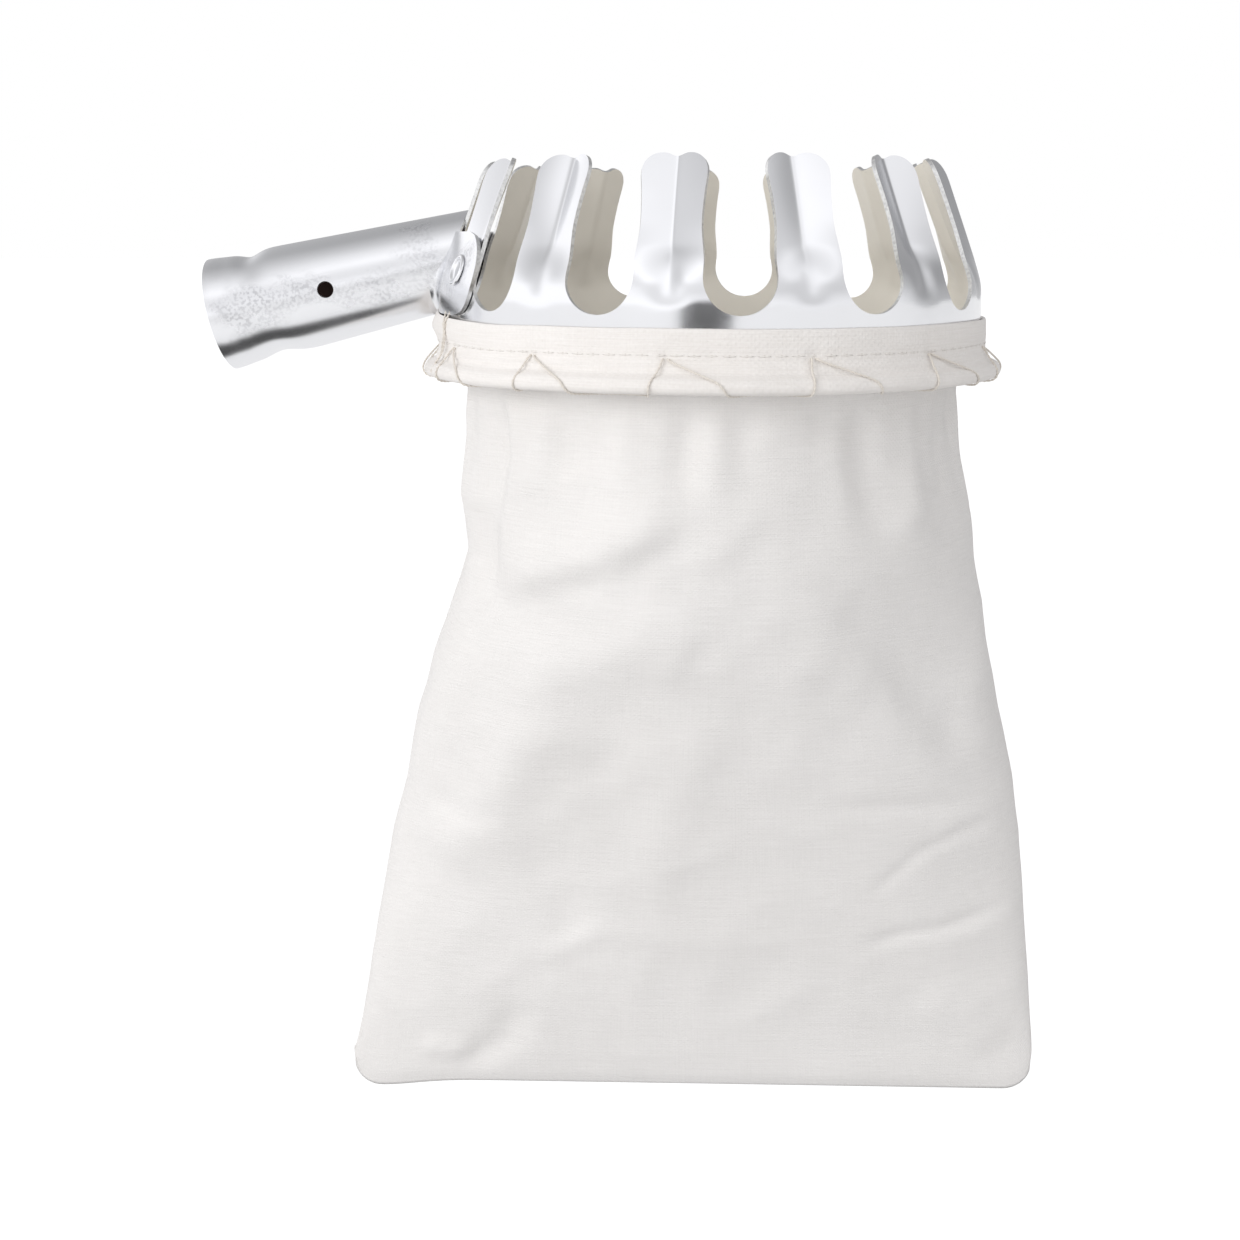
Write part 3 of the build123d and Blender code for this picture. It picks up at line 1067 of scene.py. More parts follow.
@dataclass
class Hem:
    """The folded hem over the band and round the flange, with its machine stitches.

    Its outline gives radius and height, in millimetres, down its outside from the top edge.
    """

    ring: Ring
    cotton: bpy.types.Material
    thread: bpy.types.Material
    around: int = 520
    cloth: float = 1.15 * MM
    stitch_level: float = -9.2 * MM
    stitch_count: int = 112
    stitch_stand: float = 1.45 * MM
    stitch_radius: float = 0.18 * MM
    face_radius: float = 73.5 * MM
    slack: float = 0.28 * MM
    socket_half: float = 0.36
    socket_rise: float = 2.2 * MM
    socket_bulge: float = 2.3 * MM
    lace_pull: float = 0.6 * MM
    rim_pull: float = 0.15 * MM
    eyelet: float = -9.8 * MM
    outline: tuple[tuple[float, float], ...] = (
        (73.25, -2.9),
        (73.45, -3.4),
        (73.5, -5.0),
        (73.55, -7.0),
        (73.45, -9.0),
        (73.5, -10.4),
        (73.8, -11.3),
        (74.3, -11.9),
        (74.4, -12.7),
        (74.7, -13.4),
        (75.7, -13.9),
        (76.9, -14.5),
        (77.5, -15.5),
        (77.6, -16.7),
        (77.1, -17.7),
        (75.8, -18.2),
        (73.5, -18.1),
        (70.0, -17.95),
        (66.2, -17.9),
    )

    def puckered(self, radius: float, turn: float, height: float) -> Vector:
        """Moves a point of the hem for soft waves and the pull of the lacing.

        Args:
            radius: its radius before.
            turn: its azimuth.
            height: its height before.

        Returns:
            The point.
        """
        ring = self.ring
        spot = Vector((math.cos(turn), math.sin(turn), height * 8))
        loose = ease((radius - 73.3 * MM) / (0.3 * MM))
        radius += self.slack * wave(spot, 0.16) * loose + 0.12 * MM * wave(spot, 0.045, 2.0) * loose
        height += 0.35 * MM * wave(Vector((math.cos(turn), math.sin(turn), 0)), 0.30, 4.0)
        under_socket = bell(abs(turn), math.pi, self.socket_half)
        rise = ease((height + 12 * MM) / (8 * MM))
        height += self.socket_rise * under_socket * rise
        radius += self.socket_bulge * under_socket * bell(height, -5.0 * MM, 3.4 * MM)
        phase = (turn - ring.finger(0)) / ring.pitch
        nearest = (phase - round(phase)) * ring.pitch * ring.band_radius
        pull = bell(nearest, 0.0, 1.6 * MM) * bell(height, self.eyelet, 2.0 * MM)
        radius -= self.lace_pull * pull
        over_rim = bell(nearest, 0.6 * MM, 1.5 * MM) * bell(height, -15.5 * MM, 2.4 * MM)
        radius -= self.rim_pull * over_rim
        return ring.point(radius, turn, height)

    def build(self) -> bpy.types.Object:
        """Builds the hem and its stitches and returns the hem."""
        mesh = spun(self.outline, steps=self.around, cuts=1)
        bmesh.ops.remove_doubles(mesh, verts=mesh.verts, dist=0.005 * MM)
        uv = mesh.loops.layers.uv.new("cloth")
        for face in mesh.faces:
            turns = [math.atan2(loop.vert.co.y, loop.vert.co.x) for loop in face.loops]
            for loop, turn in zip(face.loops, turns):
                turn += math.tau if turn < 0 and max(turns) - min(turns) > math.pi else 0
                reach = math.hypot(loop.vert.co.x, loop.vert.co.y)
                over = reach - self.ring.band_radius
                loop[uv].uv = (turn * self.ring.band_radius, loop.vert.co.z - over)
        for vertex in mesh.verts:
            turn = math.atan2(vertex.co.y, vertex.co.x)
            vertex.co = self.puckered(math.hypot(vertex.co.x, vertex.co.y), turn, vertex.co.z)
        face_outwards(mesh, self.ring.axis)
        piece = finish_piece("hem_cloth", mesh, [self.cotton], Body.HEAD, "hem")
        wall = piece.modifiers.new("cloth", "SOLIDIFY")
        wall.thickness = self.cloth
        wall.offset = -1
        self.stitches()
        return piece

    def stitches(self) -> bpy.types.Object:
        """Builds the row of machine stitches round the hem and returns it."""
        mesh = bmesh.new()
        for index in range(self.stitch_count):
            made = bmesh.ops.create_uvsphere(
                mesh, u_segments=6, v_segments=6, radius=self.stitch_radius
            )["verts"]
            bmesh.ops.scale(mesh, verts=made, vec=(0.8, 9.0, 1.0))
            turn = math.tau * (index + 0.5) / self.stitch_count
            bmesh.ops.rotate(mesh, verts=made, cent=(0, 0, 0), matrix=Matrix.Rotation(turn, 3, "Z"))
            place = self.puckered(self.face_radius, turn, self.stitch_level)
            bmesh.ops.translate(mesh, verts=made, vec=place)
        return finish_piece("hem_stitches", mesh, [self.thread], Body.HEAD)


# ------------------------------------------------------------------------ bag


class FoldKind(Enum):
    """How the cloth goes over a fold's line."""

    RIDGE = "ridge"
    TUCK = "tuck"


@dataclass(frozen=True)
class Fold:
    """One fold in the cloth, drawn on the bag's face in millimetres.

    Each point of the path is how far right of the ring's middle and how far below the
    slots' bottoms. A tuck bulges on the left of the path and drops at its line.
    """

    path: tuple[tuple[float, float], ...]
    depth: float
    width: float
    kind: FoldKind = FoldKind.RIDGE
    reach: float = 12.0

    def lift(self, across: np.ndarray, down: np.ndarray) -> np.ndarray:
        """Gives how far the fold lifts the cloth at each point, in millimetres.

        Args:
            across: distances right of the middle.
            down: heights, negative downwards.

        Returns:
            The lifts.
        """
        nearest = np.full(across.shape, 1e9)
        side = np.zeros(across.shape)
        along = np.zeros(across.shape)
        lengths = [math.dist(a, b) for a, b in zip(self.path, self.path[1:])]
        travelled = 0.0
        for start, stop, length in zip(self.path, self.path[1:], lengths):
            way_x, way_y = (stop[0] - start[0]) / length, (stop[1] - start[1]) / length
            from_x, from_y = across - start[0], down - start[1]
            step = np.clip(from_x * way_x + from_y * way_y, 0, length)
            off_x, off_y = from_x - step * way_x, from_y - step * way_y
            gap = np.hypot(off_x, off_y)
            closer = gap < nearest
            nearest = np.where(closer, gap, nearest)
            side = np.where(closer, np.sign(way_x * off_y - way_y * off_x), side)
            along = np.where(closer, travelled + step, along)
            travelled += length
        share = along / travelled
        taper = np.clip(np.minimum(share, 1 - share) / 0.3, 0, 1)
        taper = taper * taper * (3 - 2 * taper)
        if self.kind is FoldKind.RIDGE:
            return self.depth * taper * np.exp(-((nearest / self.width) ** 2))
        signed = nearest * side
        bulge = 1 / (1 + np.exp(-np.clip(2.2 * signed / self.width, -40, 40)))
        fade = np.exp(-((np.maximum(0, signed) / self.reach) ** 2))
        fade = fade * np.exp(-((nearest / (2.2 * self.reach)) ** 2))
        return self.depth * taper * bulge * fade


RIDGE, TUCK = FoldKind.RIDGE, FoldKind.TUCK
FRONT_FOLDS = (
    Fold(((-57, -77), (-44, -70), (-25, -63), (-12, -56), (2, -47)), 3.4, 4.0, TUCK, 15),
    Fold(((-56, -107), (-37, -97), (-16, -86), (5, -77)), 1.8, 5.5, TUCK, 15),
    Fold(((20, -14), (31, -27), (38, -45), (48, -61)), -2.2, 5.0, TUCK, 14),
    Fold(((-6, -12), (-4, -27), (-5, -44)), -1.1, 5.0),
    Fold(((-37, -14), (-33, -28), (-31, -42)), -1.1, 5.0),
    Fold(((-46, -14), (-45, -32), (-44, -52)), 1.3, 6.0),
    Fold(((22, -62), (40, -82), (54, -100), (69, -122), (78, -140)), -2.4, 5.0, TUCK, 18),
    Fold(((-3, -66), (9, -57), (18, -44)), 0.9, 3.5, TUCK, 9),
    Fold(((-12, -67), (2, -59)), 0.6, 3.0, TUCK, 6),
    Fold(((-11, -98), (-3, -84), (4, -75)), 0.8, 3.0, TUCK, 8),
    Fold(((-38, -92), (-46, -110), (-54, -130), (-76, -158)), 2.4, 9.0),
    Fold(((2, -98), (-3, -118), (-8, -138), (-16, -164)), 1.0, 8.0),
    Fold(((-52, -14), (-53, -35), (-58, -54), (-55, -80)), -2.6, 4.5),
    Fold(((-60, -80), (-72, -106), (-84, -142)), 1.6, 8.0),
    Fold(((58, -14), (62, -38), (64, -66)), -1.6, 5.0),
    Fold(((74, -74), (73, -99), (78, -128)), 1.8, 6.0),
    Fold(((46, -159), (52, -152), (60, -145)), -0.5, 1.6),
    Fold(((52, -148), (70, -141), (85, -137)), -0.7, 2.0),
    Fold(((40, -177), (55, -172), (66, -171), (88, -165)), -0.8, 2.4),
    Fold(((-52, -196), (-58, -212), (-76, -228)), -1.5, 5.0),
    Fold(((-84, -214), (-76, -218), (-66, -217)), 1.0, 4.0),
    Fold(((29, -129), (52, -131), (80, -133)), -0.6, 2.6),
    Fold(((-52, -142), (-39, -161), (-33, -186)), -1.2, 7.0),
    Fold(((-48, -183), (-38, -178), (-26, -168)), 0.7, 3.5),
    Fold(((48, -36), (53, -47), (48, -58)), 0.9, 4.0),
    Fold(((-80, -134), (-61, -138), (-52, -131)), -0.8, 4.0),
    Fold(((-26, -92), (-22, -109), (-32, -130)), -1.0, 6.0),
    Fold(((60, -190), (74, -200), (88, -214)), 1.0, 7.0),
)
BACK_FOLDS = (
    Fold(((50, -70), (30, -64), (8, -52)), 2.8, 4.5, TUCK, 15),
    Fold(((-60, -66), (-42, -82), (-58, -118)), -2.0, 5.5, TUCK, 16),
    Fold(((56, -102), (30, -92), (6, -84)), 1.6, 6.0, TUCK, 14),
    Fold(((-30, -14), (-34, -34), (-28, -58)), -1.3, 5.0),
    Fold(((4, -14), (8, -34), (4, -52)), -1.2, 5.0),
    Fold(((38, -14), (36, -34), (42, -56)), 1.3, 6.0),
    Fold(((10, -100), (24, -130), (52, -168)), 1.6, 9.0),
    Fold(((-12, -110), (-24, -140), (-58, -176)), 1.4, 9.0),
    Fold(((60, -160), (44, -170), (30, -172)), -0.8, 3.0),
    Fold(((-78, -196), (-60, -188), (-40, -190)), -0.9, 4.0),
    Fold(((70, -206), (58, -214), (50, -224)), -1.2, 5.0),
)


@dataclass(frozen=True)
class Level:
    """The bag's outline at one level below the slots' bottoms, in millimetres.

    How far it reaches left and right of the ring's axis, and to the front and back.
    """

    down: float
    left: float
    right: float
    deep: float


LEVELS = (
    Level(17.3, 66.5, 66.5, 66.5),
    Level(22, 65.7, 66, 66),
    Level(34, 65.7, 67.6, 65.6),
    Level(50, 68.1, 70.4, 64),
    Level(66, 66.3, 72.7, 62),
    Level(74, 68.6, 74, 60.5),
    Level(90, 74.9, 76.5, 56),
    Level(111, 82, 81.2, 48.5),
    Level(131, 85.7, 86.3, 40),
    Level(147, 90.5, 88.9, 34),
    Level(174, 95.8, 91.4, 24),
    Level(195, 99.5, 93.6, 15.5),
    Level(216, 103.3, 95.4, 7),
    Level(224, 104.8, 95.8, 3.6),
    Level(228.4, 104.4, 95.4, 0.0),
)


@dataclass
class Bag:
    """The cotton bag: a round mouth that hangs down to a flat sewn bottom."""

    ring: Ring
    cotton: bpy.types.Material
    columns: int = 256
    rows: int = 166
    cloth: float = 0.6 * MM
    round_mouth: float = 415.0 * MM
    corners: tuple[tuple[float, int], ...] = ((-104.6, 1), (95.6, -1))
    corner_radius: float = 8.0
    fold_gain: float = 1.5
    gather: float = 0.45
    blend_start: float = 20 * MM
    blend_length: float = 100 * MM

    def bottom(self, across: np.ndarray) -> np.ndarray:
        """Height of the sewn edge across the bag, in millimetres, with its round corners."""
        level = -228.5 + 0.018 * across - 1.9 * np.exp(-(((across + 97) / 15) ** 2))
        for edge, sign in self.corners:
            near = np.clip(1 - sign * (across - edge) / self.corner_radius, 0, 1)
            level = level + 7.5 * (1 - np.sqrt(np.clip(1 - near**2, 0, 1)))
        return level

    def shape(self, around: np.ndarray, fall: np.ndarray) -> np.ndarray:
        """Places the cloth.

        Args:
            around: from 0 to 1 round the mouth, from the left side by the front.
            fall: from 0 at the mouth to 1 at the bottom.

        Returns:
            One row of x, y and z in millimetres for each vertex, about the ring's axis.
        """
        top = -LEVELS[0].down
        turn = math.pi + math.tau * around
        nominal = -top + fall * (LEVELS[-1].down + top)
        downs = [level.down for level in LEVELS]
        left = np.interp(nominal, downs, [level.left for level in LEVELS])
        right = np.interp(nominal, downs, [level.right for level in LEVELS])
        deep = np.interp(nominal, downs, [level.deep for level in LEVELS])
        cosine, sine = np.cos(turn), np.sin(turn)
        x = np.where(cosine > 0, right, left) * cosine
        y = deep * sine
        z = top + fall * (self.bottom(x) - top)
        loose = np.clip(fall / 0.05, 0, 1) * np.clip((1 - fall) / 0.06, 0, 1)
        front = np.clip(-sine * 3.0, 0, 1)
        back = np.clip(sine * 3.0, 0, 1)
        lift = sum(fold.lift(x, z) for fold in FRONT_FOLDS) * front
        lift = lift + sum(fold.lift(x, z) for fold in BACK_FOLDS) * back
        # Uneven gathers under the hem, which fade as the cloth hangs free.
        hang = np.exp(-(((z + 22) / 24) ** 2))
        gathers = np.sin(23 * turn + 1.2 * np.sin(5 * turn)) + 0.6 * np.sin(37 * turn + 2.0)
        lift = lift + self.gather * gathers * hang
        soft = np.array([self.crumple(a, b, c) for a, b, c in zip(x, y, z)])
        lift = (self.fold_gain * lift + soft) * loose
        # Low down, where the bag is flat, folds lift the cloth to the front and back only.
        flatness = np.clip(fall * 1.5 - 0.35, 0, 1)
        out_x = cosine * (1 - 0.85 * flatness)
        steep = np.abs(sine)
        outwards = np.where(steep > 1e-6, np.sign(sine), 0)
        out_y = outwards * (steep * (1 - flatness) + flatness * np.minimum(1, 3 * steep))
        return np.stack([x + lift * out_x, y + lift * out_y, z], axis=1)

    def crumple(self, x: float, y: float, z: float) -> float:
        """Fine crumples and slack of the cloth at a point, in millimetres."""
        spot = Vector((x, 0.6 * y, 0.8 * z))
        slack = 0.9 * wave(spot, 34.0, 1.0)
        ridged = 1 - abs(wave(spot, 21.0, 5.0)) * 2.2
        fine = 0.28 * wave(spot, 7.5, 9.0)
        return slack + 0.55 * max(-0.4, ridged) + fine * (0.4 + 0.6 * abs(wave(spot, 50.0, 12.0)) * 2)

    def build(self) -> bpy.types.Object:
        """Builds the bag and returns it."""
        mesh = grid(self.columns, self.rows)
        uv = mesh.loops.layers.uv.new("cloth")
        height = (LEVELS[-1].down - LEVELS[0].down) * MM
        for face in mesh.faces:
            for loop in face.loops:
                loop[uv].uv = (loop.vert.co.x * self.round_mouth, loop.vert.co.y * height)
        mesh.verts.ensure_lookup_table()
        around = np.array([vertex.co.x for vertex in mesh.verts])
        fall = np.array([1 - vertex.co.y for vertex in mesh.verts])
        for vertex, place in zip(mesh.verts, self.shape(around, fall)):
            vertex.co = self.ring.axis + Vector(place) * MM
        bmesh.ops.remove_doubles(mesh, verts=mesh.verts, dist=0.02 * MM)
        bmesh.ops.smooth_vert(
            mesh, verts=mesh.verts, factor=0.35, use_axis_x=True, use_axis_y=True, use_axis_z=True
        )
        face_outwards(mesh, self.ring.axis)
        piece = finish_piece("bag_cloth", mesh, [self.cotton], None)
        panels = ("bag_neck", "front_panel", "back_panel")
        seams = ("side_seam_left", "side_seam_right", "bottom_seam")
        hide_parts(*panels, *seams)
        wall = piece.modifiers.new("cloth", "SOLIDIFY")
        wall.thickness = self.cloth
        wall.offset = -1
        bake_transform(piece)
        return piece


# --------------------------------------------------------------------- lacing


@dataclass
class Lacing:
    """Two-ply twine through an eyelet under each finger, and its knot."""

    ring: Ring
    twine: bpy.types.Material
    strand: float = 0.17 * MM
    twist: float = 2.2 * MM
    step: float = 0.4 * MM
    eyelet: float = -9.8 * MM
    beside: float = 0.45 * MM
    rim: float = -16.8 * MM
    underneath: float = -18.5 * MM

    def follow(self, points: list[Vector]) -> list[Vector]:
        """Points of a smooth curve with the given control points."""
        data = bpy.data.curves.new("route", "CURVE")
        data.dimensions = "3D"
        data.resolution_u = 14
        spline = data.splines.new("NURBS")
        spline.points.add(len(points) - 1)
        for target, point in zip(spline.points, points):
            target.co = (*point, 1)
        spline.order_u = 3
        spline.use_endpoint_u = True
        holder = bpy.data.objects.new("route", data)
        mesh = bpy.data.meshes.new_from_object(holder)
        line = [v.co.copy() for v in mesh.vertices]
        bpy.data.objects.remove(holder)
        bpy.data.curves.remove(data)
        bpy.data.meshes.remove(mesh)
        return line

    def plies(self, line: list[Vector]) -> list[list[Vector]]:
        """Gives the two twisted strands that run along a line.

        Args:
            line: points of the twine's middle.

        Returns:
            The points of each strand's middle.
        """
        spots, carry = [line[0]], 0.0
        for start, stop in zip(line, line[1:]):
            span = (stop - start).length
            carry += span
            while carry >= self.step and span > 1e-9:
                carry -= self.step
                spots.append(stop + (start - stop) * (carry / span))
        normal = (spots[1] - spots[0]).orthogonal().normalized()
        strands: list[list[Vector]] = [[], []]
        for index, spot in enumerate(spots):
            ahead = (spots[min(index + 1, len(spots) - 1)] - spots[max(index - 1, 0)]).normalized()
            normal = (normal - ahead * normal.dot(ahead)).normalized()
            side = ahead.cross(normal)
            angle = math.tau * index * self.step / self.twist
            for strand, points in enumerate(strands):
                turn = angle + strand * math.pi
                offset = normal * math.cos(turn) + side * math.sin(turn)
                points.append(spot + offset * self.strand * 0.85)
        return strands

    def twist_up(self, name: str, lines: list[list[Vector]], node: str) -> bpy.types.Object:
        """Makes one piece of twine along several lines.

        Args:
            name: the piece's name.
            lines: points of the middle of each run.
            node: the CAD node that it replaces.

        Returns:
            The piece.
        """
        data = bpy.data.curves.new(name, "CURVE")
        data.dimensions = "3D"
        data.bevel_depth = self.strand
        data.bevel_resolution = 1
        data.use_fill_caps = True
        for line in lines:
            for points in self.plies(line):
                spline = data.splines.new("POLY")
                spline.points.add(len(points) - 1)
                for target, point in zip(spline.points, points):
                    target.co = (*point, 1)
        holder = bpy.data.objects.new(name, data)
        made = bpy.data.meshes.new_from_object(holder)
        mesh = bmesh.new()
        mesh.from_mesh(made)
        bpy.data.objects.remove(holder)
        bpy.data.curves.remove(data)
        bpy.data.meshes.remove(made)
        bmesh.ops.recalc_face_normals(mesh, faces=mesh.faces)
        return finish_piece(name, mesh, [self.twine], Body.HEAD, node)

    def stitch(self, index: int) -> list[Vector]:
        """Route from one eyelet to the next, over and under the covered flange."""
        ring = self.ring
        here, there = ring.finger(index), ring.finger(index + 1)
        share = self.beside / ring.band_radius
        slant = math.radians(11.0 + 1.6 * math.sin(5.3 * index))
        drift = math.radians(0.7 * math.sin(2.1 * index + 1))
        return [
            ring.point(70.2 * MM, here + share, self.eyelet),
            ring.point(73.0 * MM, here + share, self.eyelet),
            ring.point(73.9 * MM, here + share + 0.006, self.eyelet - 0.5 * MM),
            ring.point(76.0 * MM, here + slant * 0.52, -12.9 * MM),
            ring.point(77.8 * MM, here + slant * 0.90, -15.0 * MM),
            ring.point(78.1 * MM, here + slant, self.rim),
            ring.point(77.0 * MM, here + slant + 0.01, -18.3 * MM),
            ring.point(74.5 * MM, here + slant + 0.03, -18.6 * MM),
            ring.point(70.5 * MM, here + slant + 0.09, self.underneath),
            ring.point(70.5 * MM, there - 0.08, self.underneath),
            ring.point(74.5 * MM, there - 0.04 + drift, -18.6 * MM),
            ring.point(77.1 * MM, there - 0.034 + drift, -18.3 * MM),
            ring.point(78.1 * MM, there - 0.032 + drift, self.rim),
            ring.point(77.6 * MM, there - 0.028 + drift, -14.9 * MM),
            ring.point(75.3 * MM, there - 0.018, -12.6 * MM),
            ring.point(73.8 * MM, there - share - 0.004, self.eyelet - 0.4 * MM),
            ring.point(73.0 * MM, there - share, self.eyelet),
            ring.point(70.2 * MM, there - share, self.eyelet),
        ]

    def build(self) -> None:
        """Builds the lacing and its knot."""
        lines = [self.follow(self.stitch(index)) for index in range(self.ring.fingers)]
        self.twist_up("lacing_twine", lines, "lacing_thread")
        self.knot()

    def knot(self) -> None:
        """Builds the knot that ties the twine off beside the socket."""
        ring = self.ring
        turn = math.radians(203.5)
        place = ring.point(74.3 * MM, turn, -4.4 * MM)
        around = Vector((-math.sin(turn), math.cos(turn), 0))
        out = Vector((math.cos(turn), math.sin(turn), 0))
        up = Vector((0, 0, 1))

        def run(offsets: list[tuple[float, float, float]]) -> list[Vector]:
            """A run of twine through offsets in mm: round the ring, up and outwards."""
            return self.follow([place + (around * a + up * u + out * o) * MM for a, u, o in offsets])

        middle = (0, 0, 0.2)
        long_tail = [(-0.3, -2.0, 0.0), (-0.7, -4.5, 0.4), (-1.0, -7.5, 0.7), (-0.8, -9.8, 2.5)]
        long_tail.append((-0.9, -12.2, 3.8))
        short_tail = [(0.5, -1.8, 0.0), (0.6, -4.3, 0.3), (0.2, -7.0, 0.6), (-0.6, -9.5, 2.4)]
        coil = []
        for index in range(26):
            angle = math.tau * index / 12
            coil.append((0.75 * math.cos(angle), 0.75 * math.sin(angle), 0.2 * math.cos(1.5 * angle)))
        lines = [
            run(coil),
            run([middle, *long_tail]),
            run([middle, *short_tail]),
            run([middle, (-0.9, 1.6, -0.2), (-1.9, 3.0, -0.9), (-2.4, 4.0, -1.3)]),
            run([middle, (0.9, 1.6, -0.2), (1.8, 2.9, -0.9), (2.3, 4.0, -1.3)]),
        ]
        self.twist_up("lacing_knot", lines, "tie_knot")


# --------------------------------------------------------------------- studio


@dataclass(frozen=True)
class Card:
    """A dark card for the polished metal to reflect, placed and aimed from the ring's axis."""

    name: str
    place: Vector
    size: tuple[float, float]
    target: Vector


@dataclass(frozen=True)
class SoftBox:
    """A square lamp, placed from the middle of the object and aimed at it."""

    name: str
    offset: Vector
    size: float
    watts: float


@dataclass
class Studio:
    """Pale floor, soft light and the camera."""

    ring: Ring
    eye: Vector = Vector((11.6 * MM, -503.3 * MM, 18.8 * MM))
    pitch: float = math.radians(11.934)
    yaw: float = math.radians(4.126)
    lens_mm: float = 53.05
    sensor_mm: float = 36.0
    front_light: tuple[tuple[float, float], ...] = (
        (0.0, 0.6),
        (0.36, 0.8),
        (0.44, 1.104),
        (0.53, 1.104),
        (0.64, 0.805),
        (0.74, 0.851),
        (0.82, 1.15),
        (0.93, 0.9),
        (1.0, 0.42),
    )
    back_light: tuple[tuple[float, float], ...] = (
        (0.0, 0.66),
        (0.44, 0.62),
        (0.52, 0.56),
        (0.62, 0.44),
        (0.74, 0.40),
        (0.95, 0.36),
        (1.0, 0.42),
    )
    left_light: tuple[tuple[float, float], ...] = (
        (0.0, 0.66),
        (0.40, 0.90),
        (0.48, 1.0),
        (0.66, 1.0),
        (0.76, 0.70),
        (0.88, 0.50),
        (1.0, 0.42),
    )
    floor_drop: float = 0.16
    floor_size: float = 60.0
    floor_glow: float = 0.80
    floor_dimmed: float = 0.18
    lamp_drop: float = 0.09
    key: SoftBox = SoftBox("key", Vector((-0.90, -0.85, 0.42)), 0.6, 5.0)
    fill: SoftBox = SoftBox("fill", Vector((0.5, -0.9, 0.2)), 0.7, 0.5)

    def camera(self) -> None:
        """Places the camera."""
        data = bpy.data.cameras.new("camera")
        data.lens = self.lens_mm
        data.sensor_width = self.sensor_mm
        data.clip_start, data.clip_end = 0.02, 50.0
        camera = bpy.data.objects.new("camera", data)
        bpy.context.collection.objects.link(camera)
        camera.location = self.ring.axis + self.eye
        camera.rotation_euler = (math.pi / 2 - self.pitch, 0, self.yaw)
        bpy.context.scene.camera = camera

    def floor(self) -> None:
        """Makes the floor: white to the camera and to reflections, pale to light."""
        mesh = bmesh.new()
        bmesh.ops.create_grid(mesh, x_segments=1, y_segments=1, size=self.floor_size / 2)
        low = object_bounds()[0].z - self.floor_drop
        bmesh.ops.translate(mesh, verts=mesh.verts, vec=(self.ring.axis.x, 0, low))
        n = Nodes("floor_paper")
        n.shader.inputs["Base Color"].default_value = (0.40, 0.40, 0.40, 1)
        n.shader.inputs["Roughness"].default_value = 0.9
        glow = n.add("ShaderNodeEmission")
        both = n.add("ShaderNodeAddShader")
        n.join(n.shader.outputs[0], both.inputs[0])
        n.join(glow.outputs[0], both.inputs[1])
        paper = n.add("ShaderNodeBsdfDiffuse", Color=(0.82, 0.82, 0.82, 1))
        path = n.add("ShaderNodeLightPath")
        seen = n.math("MAXIMUM", path.outputs["Is Camera Ray"], path.outputs["Is Transmission Ray"])
        dimmed = n.math("MULTIPLY", path.outputs["Is Glossy Ray"], self.floor_dimmed)
        n.join(n.math("SUBTRACT", self.floor_glow, dimmed), glow.inputs["Strength"])
        choose = n.add("ShaderNodeMixShader")
        n.join(n.math("MAXIMUM", seen, path.outputs["Is Glossy Ray"]), choose.inputs[0])
        n.join(paper.outputs[0], choose.inputs[1])
        n.join(both.outputs[0], choose.inputs[2])
        n.join(choose.outputs[0], n.output.inputs["Surface"])
        stage_piece("floor", mesh, n.material)

    def world(self) -> None:
        """Soft surrounding light, white where the camera looks straight at it."""
        n = WorldNodes("studio")
        place = n.add("ShaderNodeTexCoord")
        split = n.add("ShaderNodeSeparateXYZ")
        n.join(place.outputs["Generated"], split.inputs[0])
        rise = n.math("ADD", n.math("MULTIPLY", split.outputs["Z"], 0.5), 0.5)
        front = n.ramp(rise, self.levels(*self.front_light))
        back = n.ramp(rise, self.levels(*self.back_light))
        behind = n.add("ShaderNodeMapRange", interpolation_type="SMOOTHSTEP", From_Min=-0.25, From_Max=0.35)
        n.join(split.outputs["Y"], behind.inputs["Value"])
        right = n.add("ShaderNodeMapRange", From_Min=-0.5, From_Max=0.7, To_Min=1.15, To_Max=0.86)
        n.join(split.outputs["X"], right.inputs["Value"])
        left = n.add("ShaderNodeMapRange", interpolation_type="SMOOTHSTEP", From_Min=-0.25, From_Max=-0.62)
        n.join(split.outputs["X"], left.inputs["Value"])
        aside = n.ramp(rise, self.levels(*self.left_light))
        tone = n.mix(left.outputs[0], n.mix(behind.outputs[0], front, back), aside)
        soft = n.add("ShaderNodeBackground")
        n.join(tone, soft.inputs["Color"])
        n.join(right.outputs[0], soft.inputs["Strength"])
        seen = n.add("ShaderNodeBackground", Color=WHITE)
        path = n.add("ShaderNodeLightPath")
        choose = n.add("ShaderNodeMixShader")
        white = n.math("MAXIMUM", path.outputs["Is Camera Ray"], path.outputs["Is Transmission Ray"])
        n.join(white, choose.inputs[0])
        n.join(soft.outputs[0], choose.inputs[1])
        n.join(seen.outputs[0], choose.inputs[2])
        n.join(choose.outputs[0], n.output.inputs["Surface"])

    @staticmethod
    def levels(*stops: tuple[float, float]) -> list[tuple[float, tuple]]:
        """Grey stops of a ramp from pairs of place and level."""
        return [(place, (level, level, 1.015 * level, 1)) for place, level in stops]

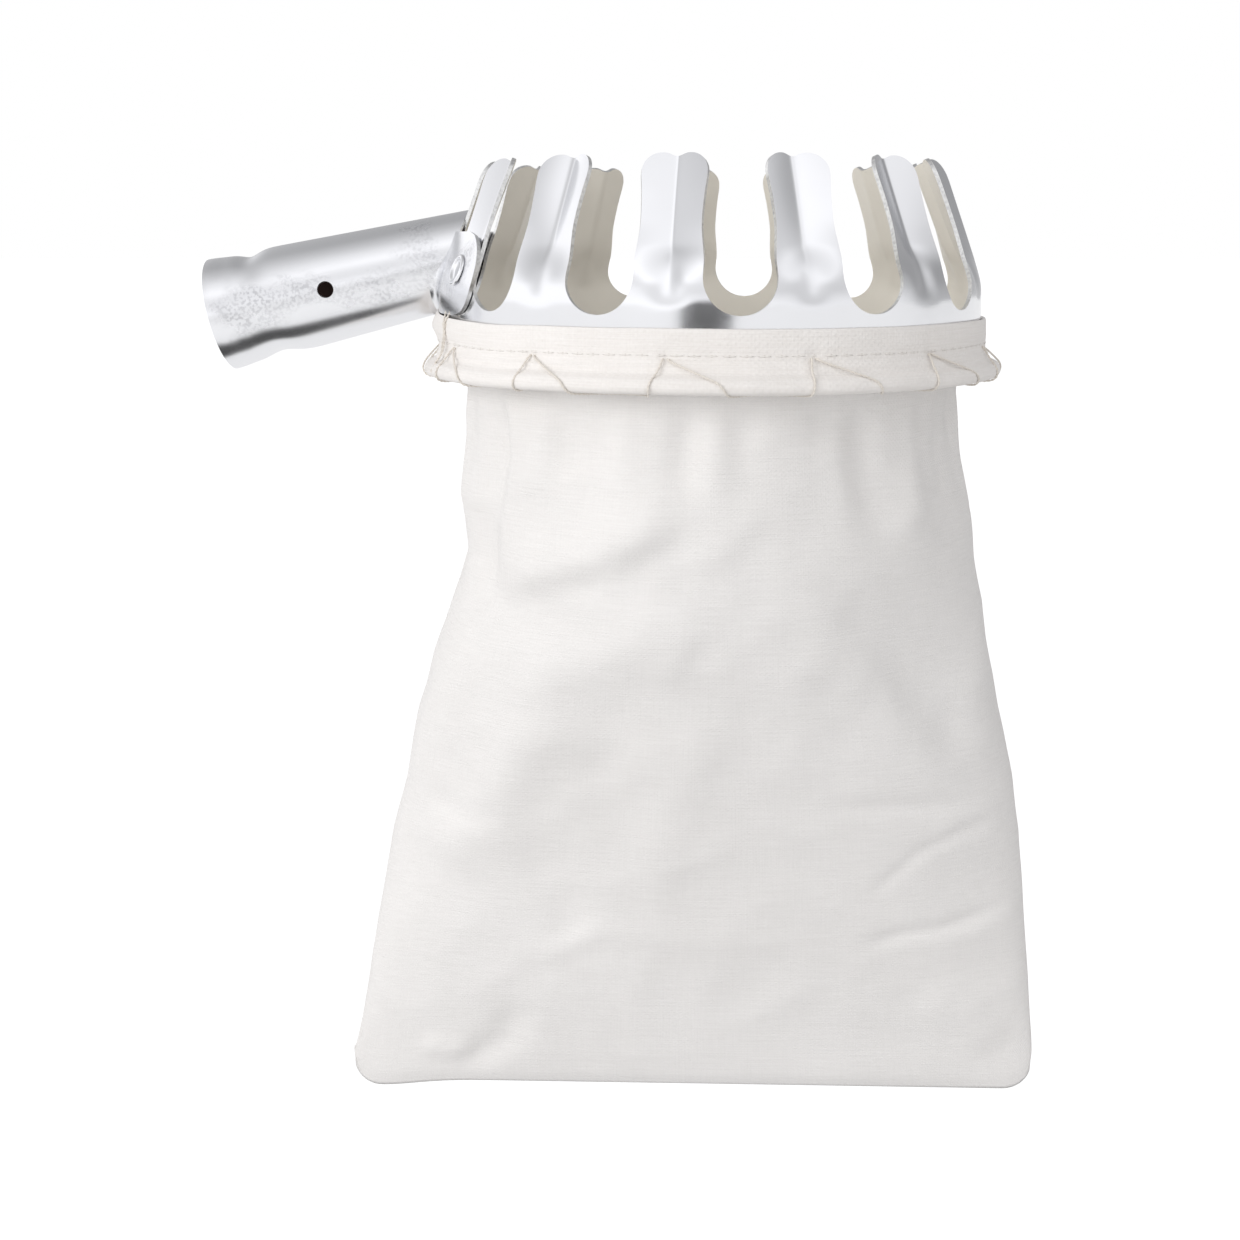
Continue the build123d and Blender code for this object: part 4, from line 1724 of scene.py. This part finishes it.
    def flags(self) -> None:
        """Adds the dark cards that only the polished metal sees."""
        n = Nodes("flag_black")
        n.shader.inputs["Base Color"].default_value = (0.07, 0.07, 0.07, 1)
        n.shader.inputs["Roughness"].default_value = 0.9
        n.shader.inputs["Specular IOR Level"].default_value = 0.0
        lens_place = self.eye + Vector((-16, -90, -30)) * MM
        low_place, low_target = Vector((-190, -52, -200)) * MM, Vector((-190, -30, 0)) * MM
        cards = (
            Card("flag_lens", lens_place, (215 * MM, 120 * MM), Vector((0, 0, 0))),
            Card("flag_low", low_place, (300 * MM, 140 * MM), low_target),
        )
        for card in cards:
            mesh = bmesh.new()
            bmesh.ops.create_circle(mesh, cap_ends=True, segments=32, radius=0.5)
            bmesh.ops.scale(mesh, verts=mesh.verts, vec=(*card.size, 1))
            facing = (card.target - card.place).to_track_quat("Z", "Y").to_matrix()
            bmesh.ops.rotate(mesh, verts=mesh.verts, cent=(0, 0, 0), matrix=facing)
            bmesh.ops.translate(mesh, verts=mesh.verts, vec=self.ring.axis + card.place)
            flag = stage_piece(card.name, mesh, n.material)
            flag.visible_camera = flag.visible_shadow = False
            flag.visible_diffuse = flag.visible_transmission = False

    def lamps(self) -> None:
        """Adds the soft boxes."""
        centre = self.ring.axis - Vector((0, 0, self.lamp_drop))
        for box in (self.key, self.fill):
            data = bpy.data.lights.new(box.name, "AREA")
            data.size = box.size
            data.energy = box.watts
            lamp = bpy.data.objects.new(box.name, data)
            bpy.context.collection.objects.link(lamp)
            lamp.location = centre + box.offset
            lamp.visible_glossy = False
            lamp.rotation_euler = (-box.offset).to_track_quat("-Z", "Y").to_euler()

    def build(self) -> None:
        """Sets up the whole studio."""
        self.camera()
        self.floor()
        self.world()
        self.flags()
        self.lamps()
        bpy.context.scene.view_settings.view_transform = "Standard"


def main() -> None:
    """Builds every piece round the frame."""
    logging.basicConfig(level=logging.INFO, format="%(message)s")
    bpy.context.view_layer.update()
    ring = Ring()
    studio = Studio(ring)
    studio.build()
    sheet = GalvanisedSteel("galvanised_crown", scuff_start=0.70).make()
    rolled = GalvanisedSteel(
        "galvanised_socket", streaks=(0.4, 1.0, 1.0), scuff_start=0.60, smooth=0.19, rough=0.27
    ).make()
    # The crown's inner face is painted warm light beige: a painted reflection of the cream cloth inside the
    # ring, and painted light on a face that lies in shade.
    inside = InnerFacePaintedLight("crown_inside_painted_reflection", (0.90, 0.86, 0.77), 0.05, 0.42).make()
    # The socket's bore is painted near-black brown: painted shade inside the tube.
    bore = InnerFacePaintedLight("socket_bore_painted_shade", (0.11, 0.065, 0.055), 0.0, 0.8).make()
    edge = ShearedEdge().make()
    rivet = GalvanisedSteel("galvanised_rivet", scuff_start=0.8, smooth=0.12, rough=0.18).make()
    pitch = math.tau * ring.band_radius / Hem.stitch_count
    level = Hem.stitch_level - Hem.stitch_stand
    hem_cotton = WovenCotton(
        "hem_cotton", (0.87, 0.84, 0.81), (0.76, 0.72, 0.68), 1100.0, 1.0, 0.8, pitch, level
    ).make()
    bag_cotton = WovenCotton("bag_cotton", (0.85, 0.83, 0.81), (0.75, 0.73, 0.708), 1700.0, 0.6, 0.7).make()
    twine = Twine("natural_twine", (0.84, 0.79, 0.72)).make()
    Crown(ring, sheet, inside, edge).build()
    Socket(ring, rolled, bore, edge, rivet).build()
    Hem(ring, hem_cotton, Twine("sewing_thread", (0.86, 0.83, 0.79)).make()).build()
    Bag(ring, bag_cotton).build()
    Lacing(ring, twine).build()


if __name__ == "__main__":
    main()
